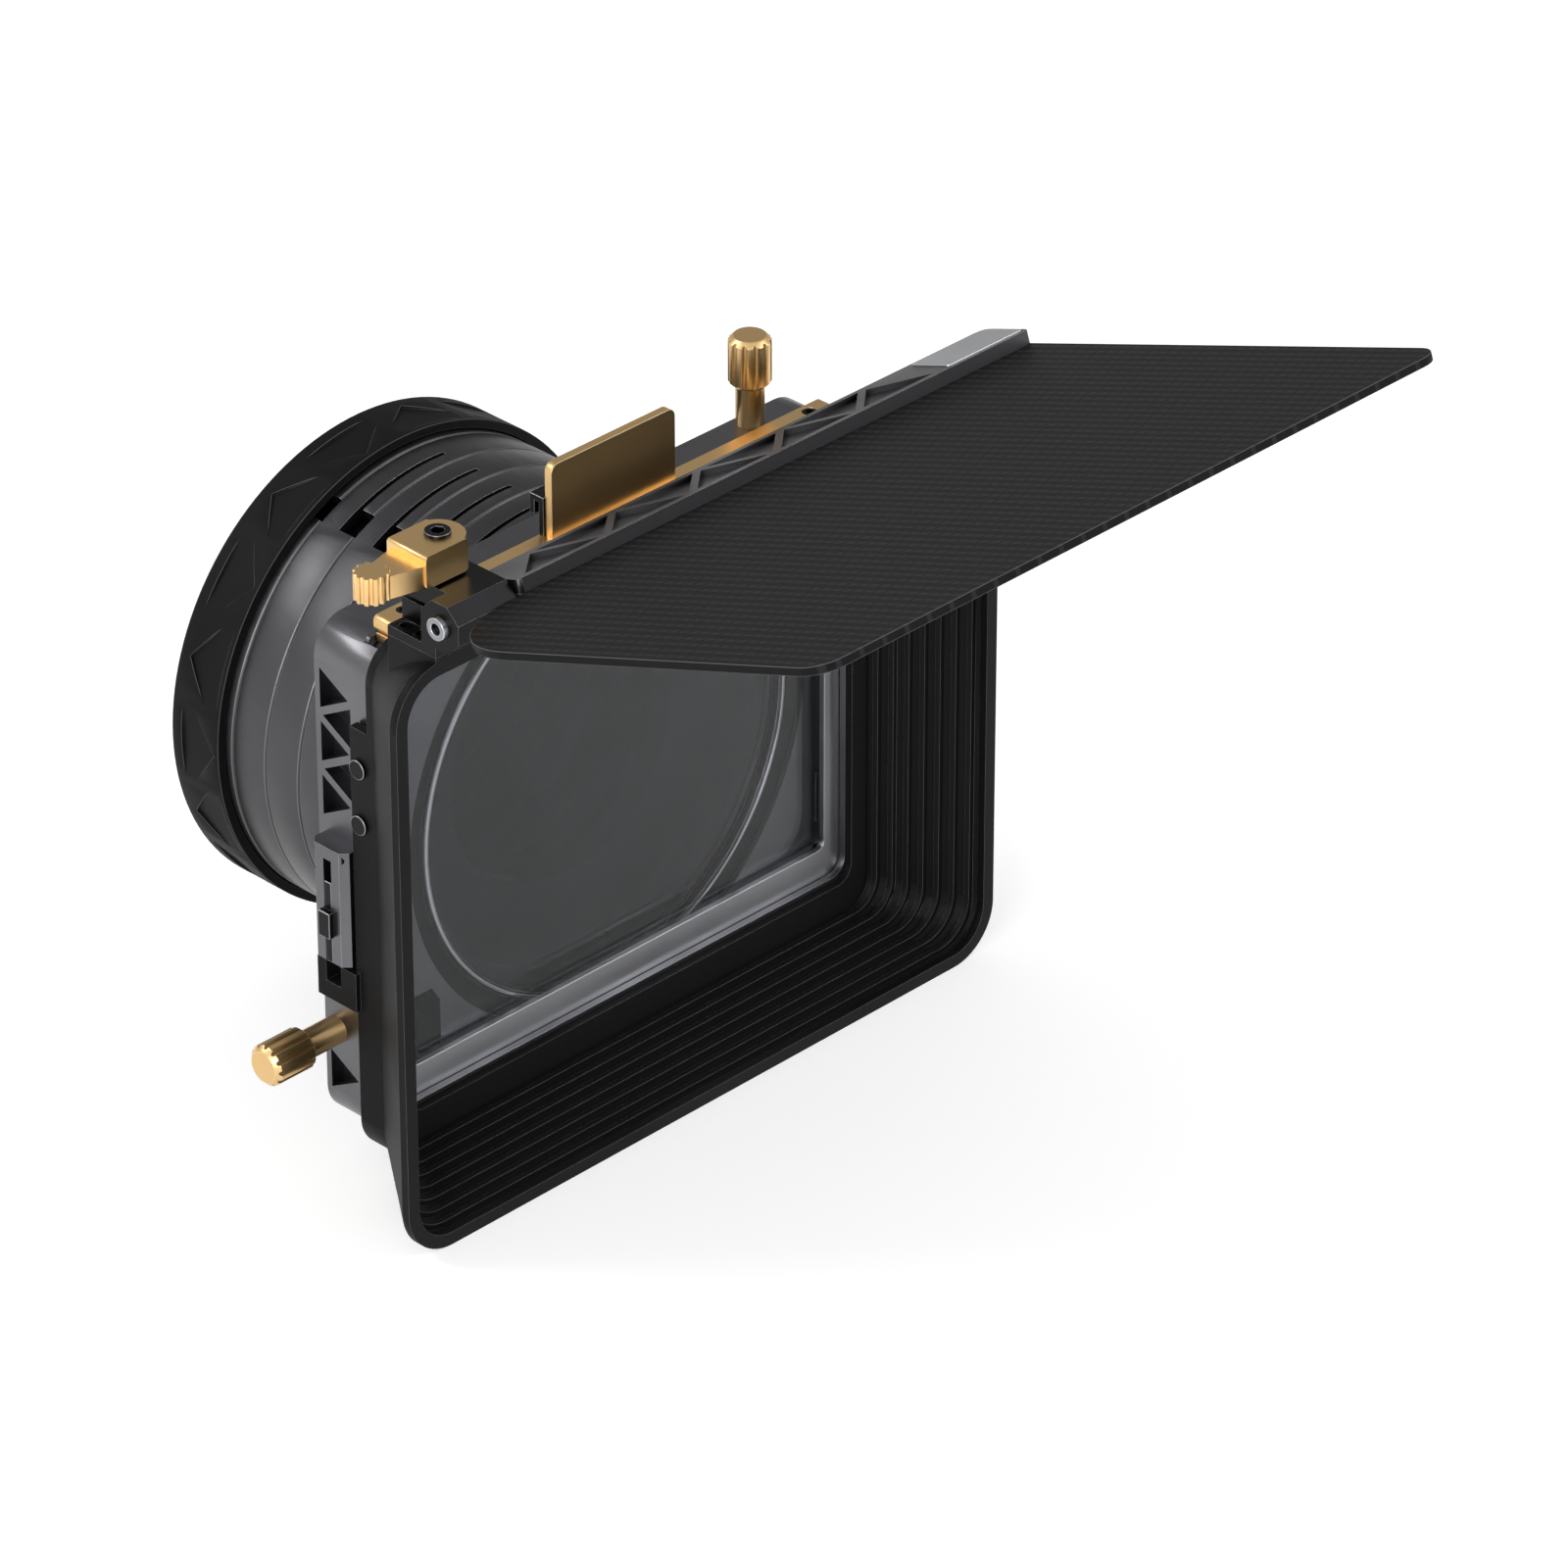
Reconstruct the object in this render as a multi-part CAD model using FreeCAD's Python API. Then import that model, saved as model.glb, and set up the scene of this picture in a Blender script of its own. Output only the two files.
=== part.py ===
import FreeCAD
import Part
import math
import os

V = FreeCAD.Vector
os.makedirs("parts", exist_ok=True)

# The front of the matte box faces -Y, +X is to the right seen from the front, and +Z is up.
# The origin is on the lens axis, at the shoulder that seats on the lens. Lengths are millimetres.

# Adapter rings
LARGEST_THREAD = 95.0
THREAD_STEPS = (0.0, 9.0, 13.0, 18.0, 23.0, 28.0)
RING_SHOULDER = 5.0
RING_DEPTH = 10.0
RING_BAND = 2.5
RING_FLOOR = 2.0
RING_CHAMFER = 0.4
THREAD_LENGTH = 3.5
COLLAR_WALL = 1.5
SPIGOT_HEIGHT = 1.2
SPIGOT_WALL = 2.0
SLIP = 0.3
PAD_RISE = 1.6
PAD_HEIGHT = 2.5
PAD_ANGLE = 34.0
PAD_COUNT = 3
FINGER_ANGLE = 116.0
FINGER_NOTCH = 6.5
FINGER_DEPTH = 4.6
FINGER_SLIT = 1.1
FINGER_ARC = 30.0
PAD_TURN = 60.0

# Rear cap
CAP_WALL = 2.0
CAP_OVERLAP = 8.0
CAP_ROOM = 1.3
CAP_FLOOR = 2.4
CAP_LEDGE = 1.2
CAP_RIM_STEP = 4.0
CAP_STEP_DEPTH = 0.6
CAP_DISH_R = 23.0
CAP_RELIEF_COUNT = 18
CAP_RELIEF_DEPTH = 0.7
CAP_RELIEF_SPREAD = 1.4
INLAY_WIDTH = 12.0
INLAY_HEIGHT = 26.0
INLAY_THICK = 0.6
INLAY_CORNER_R = 5.5

# Core frame
CORE_SIDE_WALL = 3.6
CORE_FLOOR = 1.3
WHEEL_SHOWS = 1.2
CORE_CORNER_R = 8.0
SOCKET_DEPTH = 5.0
WEB = 1.0
SEAL_THICK = 0.6
SEAL_WIDTH = 2.0
CORE_RIM = 4.5
FRONT_LIP = 1.6
SILL_STEP = 1.0
PLATE_THICK = 1.2
PLATE_OVERLAP = 1.3
PLATE_CORNER_R = 1.0
PLATE_WINDOW_RIM = 0.5
PLATE_SCREW_HEAD_R = 1.7
PLATE_SCREW_HEAD = 0.7
PLATE_SCREW_R = 0.9
PLATE_SCREW_LENGTH = 5.0
PLATE_SCREW_FROM_SIDE = 4.7
LEFT_PLATE_SCREWS = (7.5, 91.5)
RIGHT_PLATE_SCREWS = (33.5, 104.5)
WINDOW_WALL = 7.5
WINDOW_TOP_WALL = 6.0
WINDOW_CORNER_GAP = 1.6
WINDOW_LONG = 21.0
WINDOW_SHORT = 13.0

# Truss lattice in the side walls
TRUSS_CELL = 12.5
TRUSS_RIB = 1.3
TRUSS_EDGE = 1.4
TRUSS_DEPTH = 3.6
TRUSS_FROM_TOP = 7.5
TRUSS_FROM_BOTTOM = 10.0
TRUSS_ABOVE_LATCH = 2.0
TRUSS_ABOVE_SCREW = 6.5
TRUSS_BELOW_SCREW = 4.0

# Rotating filter
WHEEL_WALL = 5.8
WHEEL_GAP = 0.4
WHEEL_FRONT_GAP = 0.4
WHEEL_THICK = 4.6
WHEEL_LIP = 0.8
WHEEL_LIP_REACH = 2.0
WHEEL_TEETH = 60
WHEEL_TOOTH = 0.7
TOOTH_GAP_SHARE = 0.55
FILTER_FIT = 0.05
FILTER_THICK = 5.0
FILTER_RIM = 2.2
FILTER_SEAT = 1.0
ROUND_GLASS_THICK = 2.0

# Filter tray
TRAY_PAST_WHEEL = 7.0
TRAY_THICK = 3.5
TRAY_GAP = 0.2
TRAY_ABOVE_BOTTOM = 7.0
TRAY_BELOW_TOP = 1.5
TRAY_SIDE_BAR = 5.2
TRAY_BOTTOM_BAR = 8.0
TRAY_TOP_BAR = 8.0
TRAY_CORNER_R = 4.0
TRAY_REBATE = 1.6
TRAY_GLASS_THICK = 1.6
STRIP_HEIGHT = 5.5
STRIP_THICK = 5.2
STRIP_FOOT = 1.9
TAB_WIDTH = 35.0
TAB_HEIGHT = 17.0
TAB_THICK = 2.0
TAB_CORNER_R = 2.0
TAB_FOOT_R = 0.5
HOOK_WIDTH = 6.0
HOOK_HEIGHT = 9.0
HOOK_REACH = 4.0
HOOK_THICK = 1.4
HOOK_PAST_TAB = 0.5
CLIP_LENGTH = 12.0
CLIP_THICK = 0.5

# Thumbscrews
KNOB_R = 4.6
KNOB_LENGTH = 11.5
KNOB_GROOVES = 12
KNOB_GROOVE_R = 0.55
NECK_R = 3.1
NECK_LENGTH = 9.0
SCREW_R = 2.0
INSERT_R = 2.9
INSERT_SINK = 0.2
INSERT_LENGTH = 5.5
PIN_FIT = 0.08
SIDE_SCREW_ABOVE_BOTTOM = 23.0
TOP_SCREW_FROM_RIGHT = 18.5
SCREW_BEHIND_SOCKET = 3.4
SHOE_WIDTH = 8.0
SHOE_LENGTH = 14.0
SHOE_GAP = 0.2
SHOE_PLAY = 0.8
SCREW_SHORT = 0.4

# Side latch
LATCH_TOP = 10.0
LATCH_HEIGHT = 27.0
LATCH_PROUD = 4.6
LATCH_REAR_INSET = 2.0
LATCH_FRONT_GAP = 0.6
CATCH_LENGTH = 19.0
CATCH_TRAVEL = 5.0
CATCH_FOOT = 3.4
CATCH_NECK = 2.0
CATCH_FOOT_DEPTH = 1.5
CATCH_GAP = 0.15
CATCH_TAB = 6.0
CATCH_TAB_PROUD = 1.4
CATCH_FLOOR = 0.8
LATCH_SCREW_R = 1.1
LATCH_SCREW_SINK = 0.4
LATCH_SCREW_LENGTH = 6.7
LATCH_SCREW_EDGE = 1.8

# Hood
HOOD_WALL = 2.0
HOOD_COLLAR_WALL = 2.2
HOOD_SIDE_FLARE = 14.0
HOOD_TOP_FLARE = 7.25
HOOD_REAR_R = 9.0
HOOD_MOUTH_R = 12.0
HOOD_FLANGE = 2.0
HOOD_FLARE = 20.0
HOOD_RIM = 2.0
HOOD_RIM_WIDTH = 3.0
HOOD_COLLAR = 5.0
HOOD_COLLAR_GAP = 0.3
HOOD_COLLAR_BELOW_TOP = 17.5
RIB_COUNT = 7
RIB_THICK = 0.9
RIB_RISE = 1.1
LUG_WIDTH = 9.0
LUG_REACH = 11.4
LUG_THICK = 3.4
LUG_BELOW_LATCH = 0.9
LUG_NOTCH_DEPTH = 4.9
LUG_NOTCH_PLAY = 0.5
LUG_ROOT = 1.0
DETENT_R = 1.5
DETENT_HEAD_R = 2.2
DETENT_HEAD = 0.8
DETENT_HEIGHTS = (31.0, 18.0)

# Flag hinge and clamp
HINGE_ABOVE_MOUTH = 8.75
HINGE_AHEAD = 1.3
ROD_R = 2.5
BARREL_R = 5.3
BARREL_SIDES = 8
BARREL_FROM_LEFT = 11.0
BARREL_LENGTH = 16.0
EAR_LENGTH = 12.0
EAR_BACK = 15.0
CLAMP_SLIT = 1.0
CLAMP_FOOT = 2.2
FOOT_SCREW_EDGE = 2.6
FOOT_SCREW_PITCH = 4.6
BOLT_R = 1.5
BOLT_FROM_BACK = 4.5
BOLT_FROM_RIGHT = 6.2
WASHER_R = 4.4
WASHER_THICK = 0.6
HUB_R = 5.6
HUB_HEIGHT = 7.2
LEVER_LENGTH = 21.5
LEVER_HEIGHT = 5.0
LEVER_NECK = 5.2
LEVER_TIP_R = 3.7
LEVER_GROOVES = 12
LEVER_TIP_RISE = 0.9
LEVER_BLOCK_R = 0.8
LEVER_SCREW_HEAD_R = 2.7
LEVER_SCREW_HEAD = 1.6
LEVER_SCREW_RISE = 0.8
SOCKET_SIDES = 6
SOCKET_R_IN_HEAD = 1.5
FOOT_SCREW_R = 1.2
FOOT_SCREW_HEAD_R = 1.7
FOOT_SCREW_HEAD = 1.2
FOOT_SCREW_DEPTH = 1.8

# Top flag, drawn hanging closed over the mouth and then turned to its open rest
FLAG_OVERHANG = 1.5
FLAG_SHORT = 7.0
FLAG_THICK = 1.8
FLAG_CORNER_R = 6.0
FLAG_CUT_CORNER_R = 27.0
FLAG_SMALL_R = 0.6
FLAG_OPEN_ANGLE = 110.0
FLAG_GAP = 0.5
RAIL_HEIGHT = 13.5
RAIL_DEPTH = 8.0
RAIL_GROOVE = 2.0
RAIL_CELLS = 5
RAIL_RIB = 1.2
RAIL_RELIEF = 1.2
RAIL_EDGE = 1.6
RAIL_END_R = 3.0
RAIL_SMALL_R = 1.0
END_PLATE_LENGTH = 22.0
END_PLATE_THICK = 0.8
END_PLATE_SINK = 0.5
END_PLATE_MARGIN = 1.0
END_PLATE_R = 2.0
END_PLATE_SMALL_R = 0.8
ROD_IN_RAIL = 9.0
ROD_GLUE_GAP = 0.05
ROD_BORE_R = 1.25
ROD_BORE_DEPTH = 2.5
ROD_PAST_BARREL = 1.2
RAIL_SCREW_COUNT = 3
RAIL_SCREW_PITCH = 50.0
RAIL_SCREW_FROM_END = 27.5
RAIL_SCREW_R = 0.9
RAIL_SCREW_HEAD_R = 1.8
RAIL_SCREW_HEAD = 0.8
RAIL_SCREW_EDGE = 0.2
RAIL_SCREW_COVER = 1.65

# Sizes and places worked out from the sizes above
RING_R = LARGEST_THREAD / 2 + RING_SHOULDER
STACK_FRONT = -RING_DEPTH * len(THREAD_STEPS)
SPIGOT_R = RING_R - RING_BAND - SLIP
SOCKET_R = RING_R + SLIP
FILTER_R = RING_R
WHEEL_R = FILTER_R + WHEEL_WALL
CAVITY_R = WHEEL_R + WHEEL_GAP
PLATE_OPENING_R = WHEEL_R - PLATE_OVERLAP
CORE_TOP = CAVITY_R - WHEEL_SHOWS
CORE_BOTTOM = -CAVITY_R - CORE_FLOOR
CORE_HEIGHT = CORE_TOP - CORE_BOTTOM
CORE_MID_Z = (CORE_TOP + CORE_BOTTOM) / 2
TRAY_TOP = CORE_TOP - TRAY_BELOW_TOP
TRAY_BOTTOM = CORE_BOTTOM + TRAY_ABOVE_BOTTOM
TRAY_WIDTH = 2 * (CAVITY_R + TRAY_PAST_WHEEL)
WELL_WIDTH = TRAY_WIDTH + 2 * TRAY_GAP
CORE_WIDTH = WELL_WIDTH + 2 * CORE_SIDE_WALL
LEFT = -CORE_WIDTH / 2
CORE_REAR = STACK_FRONT + SOCKET_DEPTH
WHEEL_REAR = STACK_FRONT - WEB
WHEEL_FRONT = WHEEL_REAR - WHEEL_THICK
PLATE_REAR = WHEEL_FRONT - WHEEL_FRONT_GAP
PLATE_FRONT = PLATE_REAR - PLATE_THICK
TRAY_REAR = PLATE_FRONT - TRAY_GAP
TRAY_FRONT = TRAY_REAR - TRAY_THICK
LIP_REAR = TRAY_FRONT - TRAY_GAP
CORE_FRONT = LIP_REAR - FRONT_LIP
SIDE_SCREW_Z = CORE_BOTTOM + SIDE_SCREW_ABOVE_BOTTOM
TOP_SCREW_X = CORE_WIDTH / 2 - TOP_SCREW_FROM_RIGHT
SCREW_Y = CORE_REAR - SCREW_BEHIND_SOCKET
HOOD_REAR_WIDTH = CORE_WIDTH + 2 * (HOOD_COLLAR_GAP + HOOD_COLLAR_WALL)
HOOD_REAR_HEIGHT = CORE_HEIGHT + 2 * (HOOD_COLLAR_GAP + HOOD_COLLAR_WALL)
HOOD_MOUTH_WIDTH = HOOD_REAR_WIDTH + 2 * HOOD_SIDE_FLARE
HOOD_MOUTH_HEIGHT = HOOD_REAR_HEIGHT + 2 * HOOD_TOP_FLARE
HOOD_COLLAR_TOP = CORE_TOP - HOOD_COLLAR_BELOW_TOP
FLANGE_FRONT = CORE_FRONT - HOOD_FLANGE
FLARE_FRONT = FLANGE_FRONT - HOOD_FLARE
MOUTH_Y = FLARE_FRONT - HOOD_RIM
MOUTH_TOP = CORE_MID_Z + HOOD_MOUTH_HEIGHT / 2
HINGE_Y = MOUTH_Y - HINGE_AHEAD
HINGE_Z = MOUTH_TOP + HINGE_ABOVE_MOUTH
BARREL_LEFT = BARREL_FROM_LEFT - HOOD_MOUTH_WIDTH / 2
BARREL_RIGHT = BARREL_LEFT + BARREL_LENGTH
BOLT_X = BARREL_RIGHT - BOLT_FROM_RIGHT
BOLT_Y = HINGE_Y + EAR_BACK - BOLT_FROM_BACK
EAR_TOP = HINGE_Z + BARREL_R
EAR_BOTTOM = HINGE_Z - BARREL_R
CLAMP_SEAT = EAR_BOTTOM - CLAMP_FOOT
FLAG_WIDTH = HOOD_MOUTH_WIDTH + 2 * FLAG_OVERHANG
FLAG_HEIGHT = HOOD_MOUTH_HEIGHT - FLAG_SHORT


def save(name, shape):
    shape.exportStep(os.path.join("parts", name + ".step"))


def box(x0, x1, y0, y1, z0, z1):
    corner = V(min(x0, x1), min(y0, y1), min(z0, z1))
    return Part.makeBox(abs(x1 - x0), abs(y1 - y0), abs(z1 - z0), corner)


def round_y(radius, y0, y1, x=0.0, z=0.0):
    return Part.makeCylinder(radius, abs(y1 - y0), V(x, min(y0, y1), z), V(0, 1, 0))


def round_x(radius, x0, x1, y, z):
    return Part.makeCylinder(radius, abs(x1 - x0), V(min(x0, x1), y, z), V(1, 0, 0))


def round_z(radius, z0, z1, x, y):
    return Part.makeCylinder(radius, abs(z1 - z0), V(x, y, min(z0, z1)), V(0, 0, 1))


def turned(points):
    """A body turned about the lens axis from (radius, y) points."""
    corners = [V(radius, y, 0) for radius, y in points]
    face = Part.Face(Part.makePolygon(corners + corners[:1]))
    return face.revolve(V(0, 0, 0), V(0, 1, 0), 360)


def rounded_outline(width, height, radii, y, x_mid=0.0, z_mid=0.0):
    """A rounded rectangle across the lens axis, with radii from top right, anticlockwise from the front."""
    right = x_mid + width / 2
    left = x_mid - width / 2
    top = z_mid + height / 2
    bottom = z_mid - height / 2
    corners = ((right, top, 0), (left, top, 90), (left, bottom, 180), (right, bottom, 270))
    edges = []
    ends = []
    for (x, z, start), radius in zip(corners, radii):
        x_in = x - math.copysign(radius, x - x_mid)
        z_in = z - math.copysign(radius, z - z_mid)
        arc_points = []
        for angle in (start, start + 45, start + 90):
            turn = math.radians(angle)
            arc_points.append(V(x_in + radius * math.cos(turn), y, z_in + radius * math.sin(turn)))
        ends.append(arc_points)
    for index, arc_points in enumerate(ends):
        edges.append(Part.Arc(*arc_points).toShape())
        following = ends[(index + 1) % len(ends)]
        edges.append(Part.LineSegment(arc_points[-1], following[0]).toShape())
    return Part.Wire(edges)


def slab(width, height, radius, y0, y1, x_mid=0.0, z_mid=0.0):
    """A rounded rectangular plate between two depths."""
    radii = radius if isinstance(radius, tuple) else (radius,) * 4
    outline = rounded_outline(width, height, radii, max(y0, y1), x_mid, z_mid)
    return Part.Face(outline).extrude(V(0, -abs(y1 - y0), 0))


def turn_about_lens(shape, degrees):
    copy = shape.copy()
    copy.rotate(V(0, 0, 0), V(0, -1, 0), degrees)
    return copy


def prism(points, direction):
    return Part.Face(Part.makePolygon(points + points[:1])).extrude(direction)


def sector(radius, y0, y1, middle, width):
    """A wedge about the lens axis, for cutting an arc out of a ring."""
    half = math.radians(width / 2)
    turn = math.radians(middle)
    points = [V(0, max(y0, y1), 0)]
    for angle in (turn - half, turn + half):
        points.append(V(radius * math.cos(angle), max(y0, y1), radius * math.sin(angle)))
    return prism(points, V(0, -abs(y1 - y0), 0))


def truss_triangles(length, height, cells, rib):
    """Alternating triangle windows of a truss, as (along, across) corners from its lower left."""
    cell = length / cells
    half_rib = rib / 2
    slope = math.hypot(cell / 2, height)
    inset = rib * slope / height
    triangles = []
    for index in range(cells):
        start = index * cell
        peak = start + cell / 2
        triangles.append(((start + inset, 0), (start + cell - inset, 0), (peak, height - half_rib)))
        if index + 1 < cells:
            end = peak + cell
            triangles.append(((peak + inset, height), (start + cell, half_rib), (end - inset, height)))
    return triangles


def adapter_ring(index):
    """One ring: band, floor, threaded collar behind, register spigot, bayonet pads and spring finger."""
    rear = -RING_DEPTH * index
    front = rear - RING_DEPTH
    bore = RING_R - RING_BAND
    thread_r = (LARGEST_THREAD - THREAD_STEPS[index]) / 2
    chamfer = RING_CHAMFER
    collar_rear = rear + THREAD_LENGTH
    points = [(thread_r - COLLAR_WALL, collar_rear), (thread_r, collar_rear), (thread_r, rear)]
    if index:
        points += [(SPIGOT_R - SPIGOT_WALL, rear), (SPIGOT_R - SPIGOT_WALL, rear + SPIGOT_HEIGHT)]
        points += [(SPIGOT_R, rear + SPIGOT_HEIGHT), (SPIGOT_R, rear)]
    points += [(RING_R - chamfer, rear), (RING_R, rear - chamfer), (RING_R, front + chamfer)]
    points += [(RING_R - chamfer, front), (bore, front), (bore, rear - RING_FLOOR)]
    points += [(thread_r - COLLAR_WALL, rear - RING_FLOOR)]
    ring = turned(points)
    pad_front = front + SPIGOT_HEIGHT + SLIP
    pad_rear = pad_front + PAD_HEIGHT
    pad_band = round_y(bore + chamfer, pad_front, pad_rear).cut(round_y(bore - PAD_RISE, pad_front, pad_rear))
    reach = 2 * RING_R
    for pad in range(PAD_COUNT):
        middle = FINGER_ANGLE + PAD_TURN + pad * 360 / PAD_COUNT
        ring = ring.fuse(pad_band.common(sector(reach, pad_front, pad_rear, middle, PAD_ANGLE)))
    return ring.cut(spring_finger_cut(front))


def spring_finger_cut(front):
    """The notch and the slit behind it that free a springy finger in a ring's front edge."""
    notch_angle = math.degrees(FINGER_NOTCH / RING_R)
    tube = round_y(RING_R + 1, front, front + FINGER_DEPTH)
    tube = tube.cut(round_y(RING_R - RING_BAND - PAD_RISE, front, front + FINGER_DEPTH))
    reach = 2 * RING_R
    notch = tube.common(sector(reach, front, front + FINGER_DEPTH, FINGER_ANGLE, notch_angle))
    slit_front = front + FINGER_DEPTH - FINGER_SLIT
    slit_middle = FINGER_ANGLE - FINGER_ARC / 2
    slit = tube.common(sector(reach, slit_front, front + FINGER_DEPTH, slit_middle, FINGER_ARC))
    return notch.fuse(slit)


def rear_cap():
    """A shallow cap over the last ring, with a stepped face and shallow triangles round its side."""
    outer = RING_R + SLIP + CAP_WALL
    face = THREAD_LENGTH + CAP_ROOM + CAP_FLOOR
    inside = THREAD_LENGTH + CAP_ROOM
    points = [(0, face - CAP_STEP_DEPTH), (CAP_DISH_R, face - CAP_STEP_DEPTH), (CAP_DISH_R, face)]
    points += [(outer - CAP_RIM_STEP, face), (outer - CAP_RIM_STEP, face - CAP_STEP_DEPTH)]
    points += [(outer - CAP_STEP_DEPTH, face - CAP_STEP_DEPTH), (outer, face - 2 * CAP_STEP_DEPTH)]
    points += [(outer, -CAP_OVERLAP), (RING_R + SLIP, -CAP_OVERLAP), (RING_R + SLIP, 0)]
    points += [(RING_R - CAP_LEDGE, 0), (RING_R - CAP_LEDGE, inside), (0, inside)]
    cap = turned(points)
    step = 360 / CAP_RELIEF_COUNT
    side_front = -CAP_OVERLAP + 2 * CAP_RELIEF_DEPTH
    side_rear = face - CAP_RIM_STEP
    half = CAP_RELIEF_SPREAD * math.pi * outer / CAP_RELIEF_COUNT
    for index in range(CAP_RELIEF_COUNT):
        flip = index % 2
        base, peak = (side_rear, side_front) if flip else (side_front, side_rear)
        points = [V(outer - CAP_RELIEF_DEPTH, base, -half), V(outer - CAP_RELIEF_DEPTH, base, half)]
        points += [V(outer - CAP_RELIEF_DEPTH, peak, 0)]
        cap = cap.cut(turn_about_lens(prism(points, V(2 * CAP_WALL, 0, 0)), index * step))
    return cap.cut(cap_inlay())


def cap_inlay():
    """A plain rounded bar set flush in the cap's dished face."""
    floor = THREAD_LENGTH + CAP_ROOM + CAP_FLOOR - CAP_STEP_DEPTH
    return slab(INLAY_WIDTH, INLAY_HEIGHT, INLAY_CORNER_R, floor - INLAY_THICK, floor)


def wall_truss(side, start_z, end_z):
    """Triangle windows for as many cells as fit up a side wall, as one cutting shape."""
    cells = max(1, int((end_z - start_z) / TRUSS_CELL))
    rear = CORE_REAR - TRUSS_EDGE
    height = rear - (PLATE_REAR + TRUSS_EDGE / 2)
    outer = side * (CORE_WIDTH / 2 + 1)
    depth = -side * (TRUSS_DEPTH + 1)
    cuts = []
    for triangle in truss_triangles(cells * TRUSS_CELL, height, cells, TRUSS_RIB):
        points = [V(outer, rear - across, start_z + along) for along, across in triangle]
        cuts.append(prism(points, V(depth, 0, 0)))
    return Part.makeCompound(cuts)


def corner_window(corner):
    """The open corner that shows a clamp shoe: cut area across the lens axis, as x and z limits."""
    if corner == "left":
        x0 = LEFT + WINDOW_WALL
        z0 = TRAY_BOTTOM + WINDOW_CORNER_GAP
        return x0, x0 + WINDOW_SHORT, z0, z0 + WINDOW_LONG
    x1 = CORE_WIDTH / 2 - WINDOW_WALL
    z1 = CORE_TOP - WINDOW_TOP_WALL
    return x1 - WINDOW_SHORT, x1, z1 - WINDOW_LONG, z1


def corner_cut(corner, y0, y1, grow=0.0):
    x0, x1, z0, z1 = corner_window(corner)
    window = box(x0 - grow, x1 + grow, y0, y1, z0 - grow, z1 + grow)
    return window.cut(round_y(CAVITY_R + WINDOW_CORNER_GAP, y0, y1))


def shoe_block(corner, grow):
    """The block that a thumbscrew pushes against the adapter ring, or its slot if it is grown."""
    x0, _, _, z1 = corner_window(corner)
    reach = SCREW_R - SHOE_GAP + grow
    half = SHOE_WIDTH / 2 + grow
    rear = SCREW_Y + reach
    front = SCREW_Y - reach
    if corner == "left":
        return box(x0 + SHOE_PLAY - grow, x0 + SHOE_LENGTH + WINDOW_WALL, rear, front,
                   SIDE_SCREW_Z - half, SIDE_SCREW_Z + half)
    top = z1 - SHOE_PLAY + grow
    return box(TOP_SCREW_X - SHOE_LENGTH, TOP_SCREW_X + half, rear, front, top - SHOE_LENGTH - grow, top)


def clamp_shoe(corner):
    """A small block with a hollow face for the ring."""
    return shoe_block(corner, 0.0).cut(round_y(SOCKET_R, CORE_REAR, WHEEL_REAR - 1))


def thumbscrew(tip_length):
    """A knurled knob, its neck and its threaded end, drawn along -X from the wall it bears on."""
    knob_start = -NECK_LENGTH
    knob_end = knob_start - KNOB_LENGTH
    chamfer = 2 * KNOB_GROOVE_R
    screw = round_x(NECK_R, knob_start, 0, 0, 0).fuse(round_x(SCREW_R, 0, tip_length, 0, 0))
    points = [V(knob_start, 0, 0), V(knob_start, KNOB_R - chamfer, 0), V(knob_start - chamfer, KNOB_R, 0)]
    points += [V(knob_end + chamfer, KNOB_R, 0), V(knob_end, KNOB_R - chamfer, 0), V(knob_end, 0, 0)]
    knob = Part.Face(Part.makePolygon(points + points[:1])).revolve(V(0, 0, 0), V(1, 0, 0), 360)
    for index in range(KNOB_GROOVES):
        turn = 2 * math.pi * index / KNOB_GROOVES
        groove_y = KNOB_R * math.cos(turn)
        knob = knob.cut(round_x(KNOB_GROOVE_R, knob_end, knob_start, groove_y, KNOB_R * math.sin(turn)))
    return screw.fuse(knob)


def screw_place(corner):
    """Where a thumbscrew meets its wall, and the length from there to its shoe."""
    x0, _, _, z1 = corner_window(corner)
    if corner == "left":
        return V(LEFT, SCREW_Y, SIDE_SCREW_Z), x0 - LEFT + SCREW_SHORT
    return V(TOP_SCREW_X, SCREW_Y, CORE_TOP), CORE_TOP - z1 + SCREW_SHORT


def placed(shape, corner):
    """Move a shape drawn along -X at the origin to a thumbscrew's place."""
    place, _ = screw_place(corner)
    copy = shape.copy()
    if corner == "top":
        copy.rotate(V(0, 0, 0), V(0, 1, 0), 90)
    copy.translate(place)
    return copy


def screw_insert():
    sleeve = round_x(INSERT_R, INSERT_SINK, INSERT_LENGTH, 0, 0)
    return sleeve.cut(round_x(SCREW_R + PIN_FIT, INSERT_SINK, INSERT_LENGTH, 0, 0))


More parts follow.
